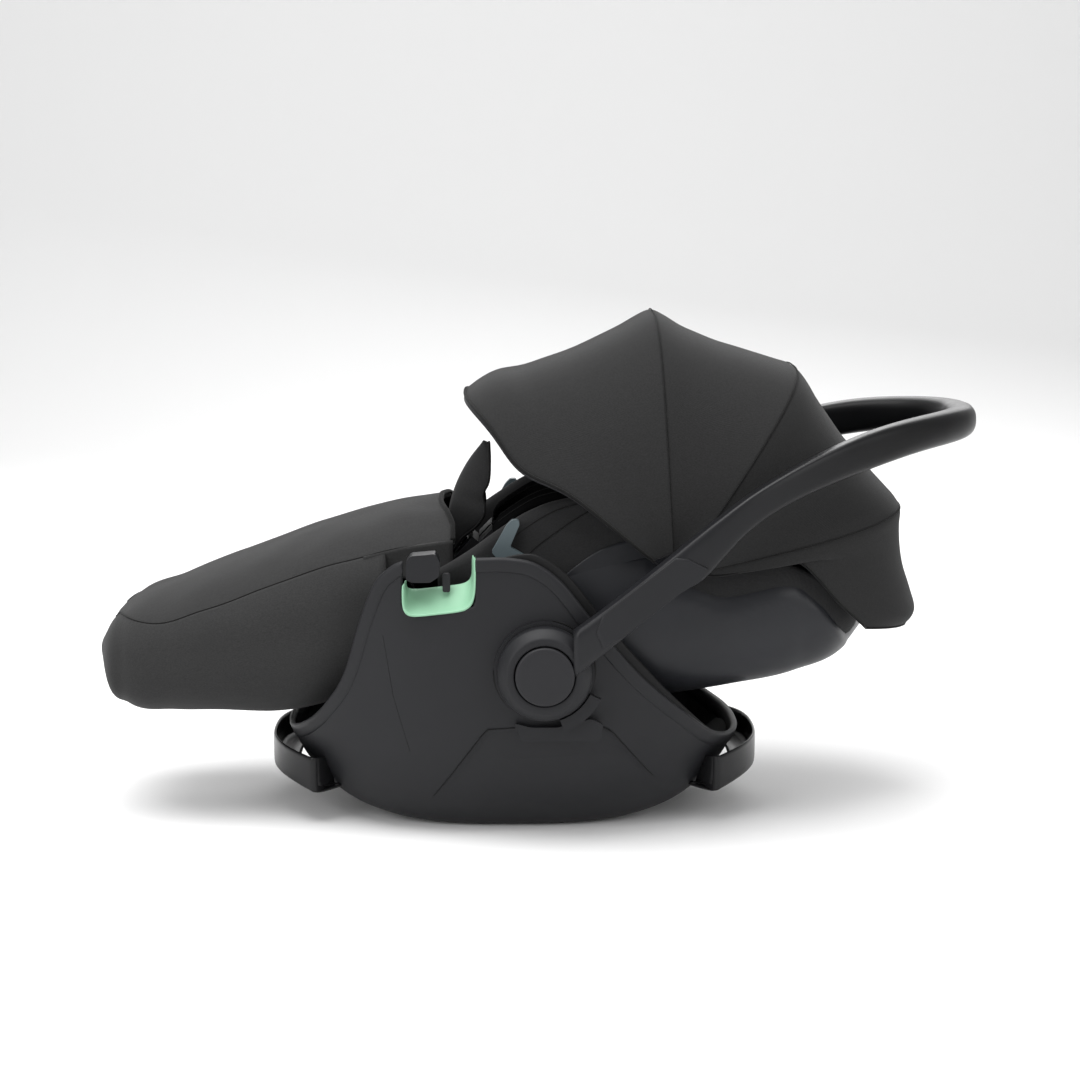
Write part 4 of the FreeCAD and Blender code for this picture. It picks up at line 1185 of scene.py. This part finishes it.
def make_sleeve(name, side):
    """Padded sleeve round a shoulder strap, thick from the buckle up and stitched along its edges."""
    line = resample(STRAP_PATH[:6], 90)
    along = headings(line)
    normal = np.stack([-along[:, 1], along[:, 0]], 1)
    rows = []
    for share, spot, out in zip(np.linspace(0, 1, 90), line, normal):
        full = min(1, share / 0.06, (1 - share) / 0.05) ** 0.5 if 0 < share < 1 else 0.12
        section = ring(25.5 * (0.85 + 0.15 * full), 6.8 * max(full, 0.12), 2.8, 48)
        rows.append(np.stack([
            spot[0] + out[0] * section[:, 1], side * STRAP_APART + section[:, 0],
            spot[1] + out[1] * section[:, 1]], 1))
    item = grid("shoulder_sleeve_" + name, ripple(np.array(rows), 22, 0.9), "harness_cover", "seat",
                closed=True, caps=True)
    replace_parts(item, "shoulder_pad_" + name)
    for edge in (-1, 1):
        stitch = [(spot[0] + out[0] * 6.2, side * STRAP_APART + edge * 18, spot[1] + out[1] * 6.2)
                  for spot, out in zip(line[6:-5], normal[6:-5])]
        tube("sleeve_stitch_%s_%s" % (name, "in" if edge < 0 else "out"), stitch, 0.5, "piping", "seat", 6)


for name, side in SIDES:
    make_sleeve(name, side)
    near, far = side * STRAP_APART - 19, side * STRAP_APART + 19
    strap("harness_" + name, STRAP_PATH, near, far, 1.6, "shoulder_strap_" + name)
CROTCH_PATH = ((-104, 178), (-101, 198), (-93, 217), (-78.6, 235.4))
ADJUSTER_PATH = ((-122, 199.8), (-131, 217), (-146, 227), (-160, 219), (-166, 198))
strap("crotch_tape", CROTCH_PATH, -19, 19, 1.6, "crotch_strap")
strap("adjuster_tape", ADJUSTER_PATH, -12, 12, 1.4, "adjuster_strap")


# ---------------------------------------------------------------- kept CAD parts
def refine(node, material, width):
    """Give a CAD part its material and softly rounded edges."""
    item = NODES[node]
    for index in range(max(1, len(item.data.materials))):
        if item.data.materials:
            item.data.materials[index] = MATERIALS[material]
        else:
            item.data.materials.append(MATERIALS[material])
    if width:
        modifier(item, "BEVEL", width=width * MM, segments=2, limit_method="ANGLE",
                 angle_limit=math.radians(35), use_clamp_overlap=True, harden_normals=False)


KEPT = (
    ("docking_bars", "steel", 0), ("rocker_feet", "rubber", 0.3),
    ("rear_foot_block", "shell_plastic", 1.2),
    ("hub_rings", "shell_plastic", 0.8), ("adapter_blocks", "shell_plastic", 0.8),
    ("belt_guide_covers", "handle_plastic", 1.6), ("recline_pins", "steel", 0.3),
    ("shell_screws", "steel", 0.2),
    ("handle_axles", "steel", 0.3), ("lock_discs", "steel", 0.3), ("button_springs", "steel", 0),
    ("hub_latch_tab_left", "shell_plastic", 0.8), ("hub_latch_tab_right", "shell_plastic", 0.8),
    ("belt_retainer_left", "trim_plastic", 0.8), ("belt_retainer_right", "trim_plastic", 0.8),
    ("buckle_body", "trim_plastic", 1.2), ("buckle_tongues", "trim_plastic", 0.4),
    ("buckle_button", "button_plastic", 0.5),
    ("adjuster_button", "trim_plastic", 0.8), ("canopy_pivots", "trim_plastic", 0.5),
    ("recline_lever_left", "lever_plastic", 1.4), ("recline_lever_right", "lever_plastic", 1.4),
    ("headrest_shell", "trim_plastic", 0.8), ("leg_rest_frame", "trim_plastic", 0.8),
    ("leg_rest_pins", "steel", 0.3),
)
for node, material, width in KEPT:
    refine(node, material, width)


# ---------------------------------------------------------------- stage, light and camera
def floor():
    """A pale floor that turns up far behind."""
    rows = []
    bend = [(2600 + 1500 * math.sin(turn), 1500 - 1500 * math.cos(turn))
            for turn in np.linspace(0.1, 1.57, 16)]
    for y, z in [(-5200, 0), (-1500, 0), (2600, 0)] + bend + [(4100, 5200)]:
        rows.append([(x, y, z - 0.4) for x in (-6500, 0, 6500)])
    item = grid("studio_floor", rows, "foam", None)
    shader = Shader("floor_paint", (0.86, 0.86, 0.86), 0.85)
    shader.bump(shader.noise(5, 2), 0.02, 0.001)
    item.data.materials.clear()
    item.data.materials.append(shader.material)


floor()


def lamp(name, place, size_m, power):
    """A soft square light, aimed at the object."""
    data = bpy.data.lights.new(name, "AREA")
    data.shape = "RECTANGLE"
    data.size, data.size_y = size_m, size_m
    data.energy = power
    item = bpy.data.objects.new(name, data)
    item.location = place
    item.rotation_euler = (Vector(AIM) - Vector(place)).to_track_quat("-Z", "Y").to_euler()
    bpy.context.scene.collection.objects.link(item)


AIM = (0, 0, 0.22)
for name, place, size_m, power in (
        ("overhead", (-0.4, -0.3, 2.6), 2.4, 95), ("left_front", (-2.2, -2.2, 1.5), 1.8, 38),
        ("right_front", (2.3, -2.0, 1.3), 1.8, 24), ("behind", (0.6, 2.4, 1.8), 2.0, 30)):
    lamp(name, place, size_m, power)
world = bpy.data.worlds.new("studio")
world.use_nodes = True
world.node_tree.nodes["Background"].inputs["Color"].default_value = (1, 1, 1, 1)
world.node_tree.nodes["Background"].inputs["Strength"].default_value = 0.5
bpy.context.scene.world = world
bpy.context.scene.view_settings.view_transform = "Standard"

CAMERA_PLACE, CAMERA_AIM = (-43.84, -2467.86, 645.86), (0.01724, 0.98754, -0.15643)
camera_data = bpy.data.cameras.new("camera")
camera_data.lens, camera_data.sensor_width = 85, 36
camera = bpy.data.objects.new("camera", camera_data)
camera.location = Vector(CAMERA_PLACE) * MM
camera.rotation_euler = Vector(CAMERA_AIM).to_track_quat("-Z", "Y").to_euler()
camera_data.clip_end = 60
bpy.context.scene.collection.objects.link(camera)
bpy.context.scene.camera = camera
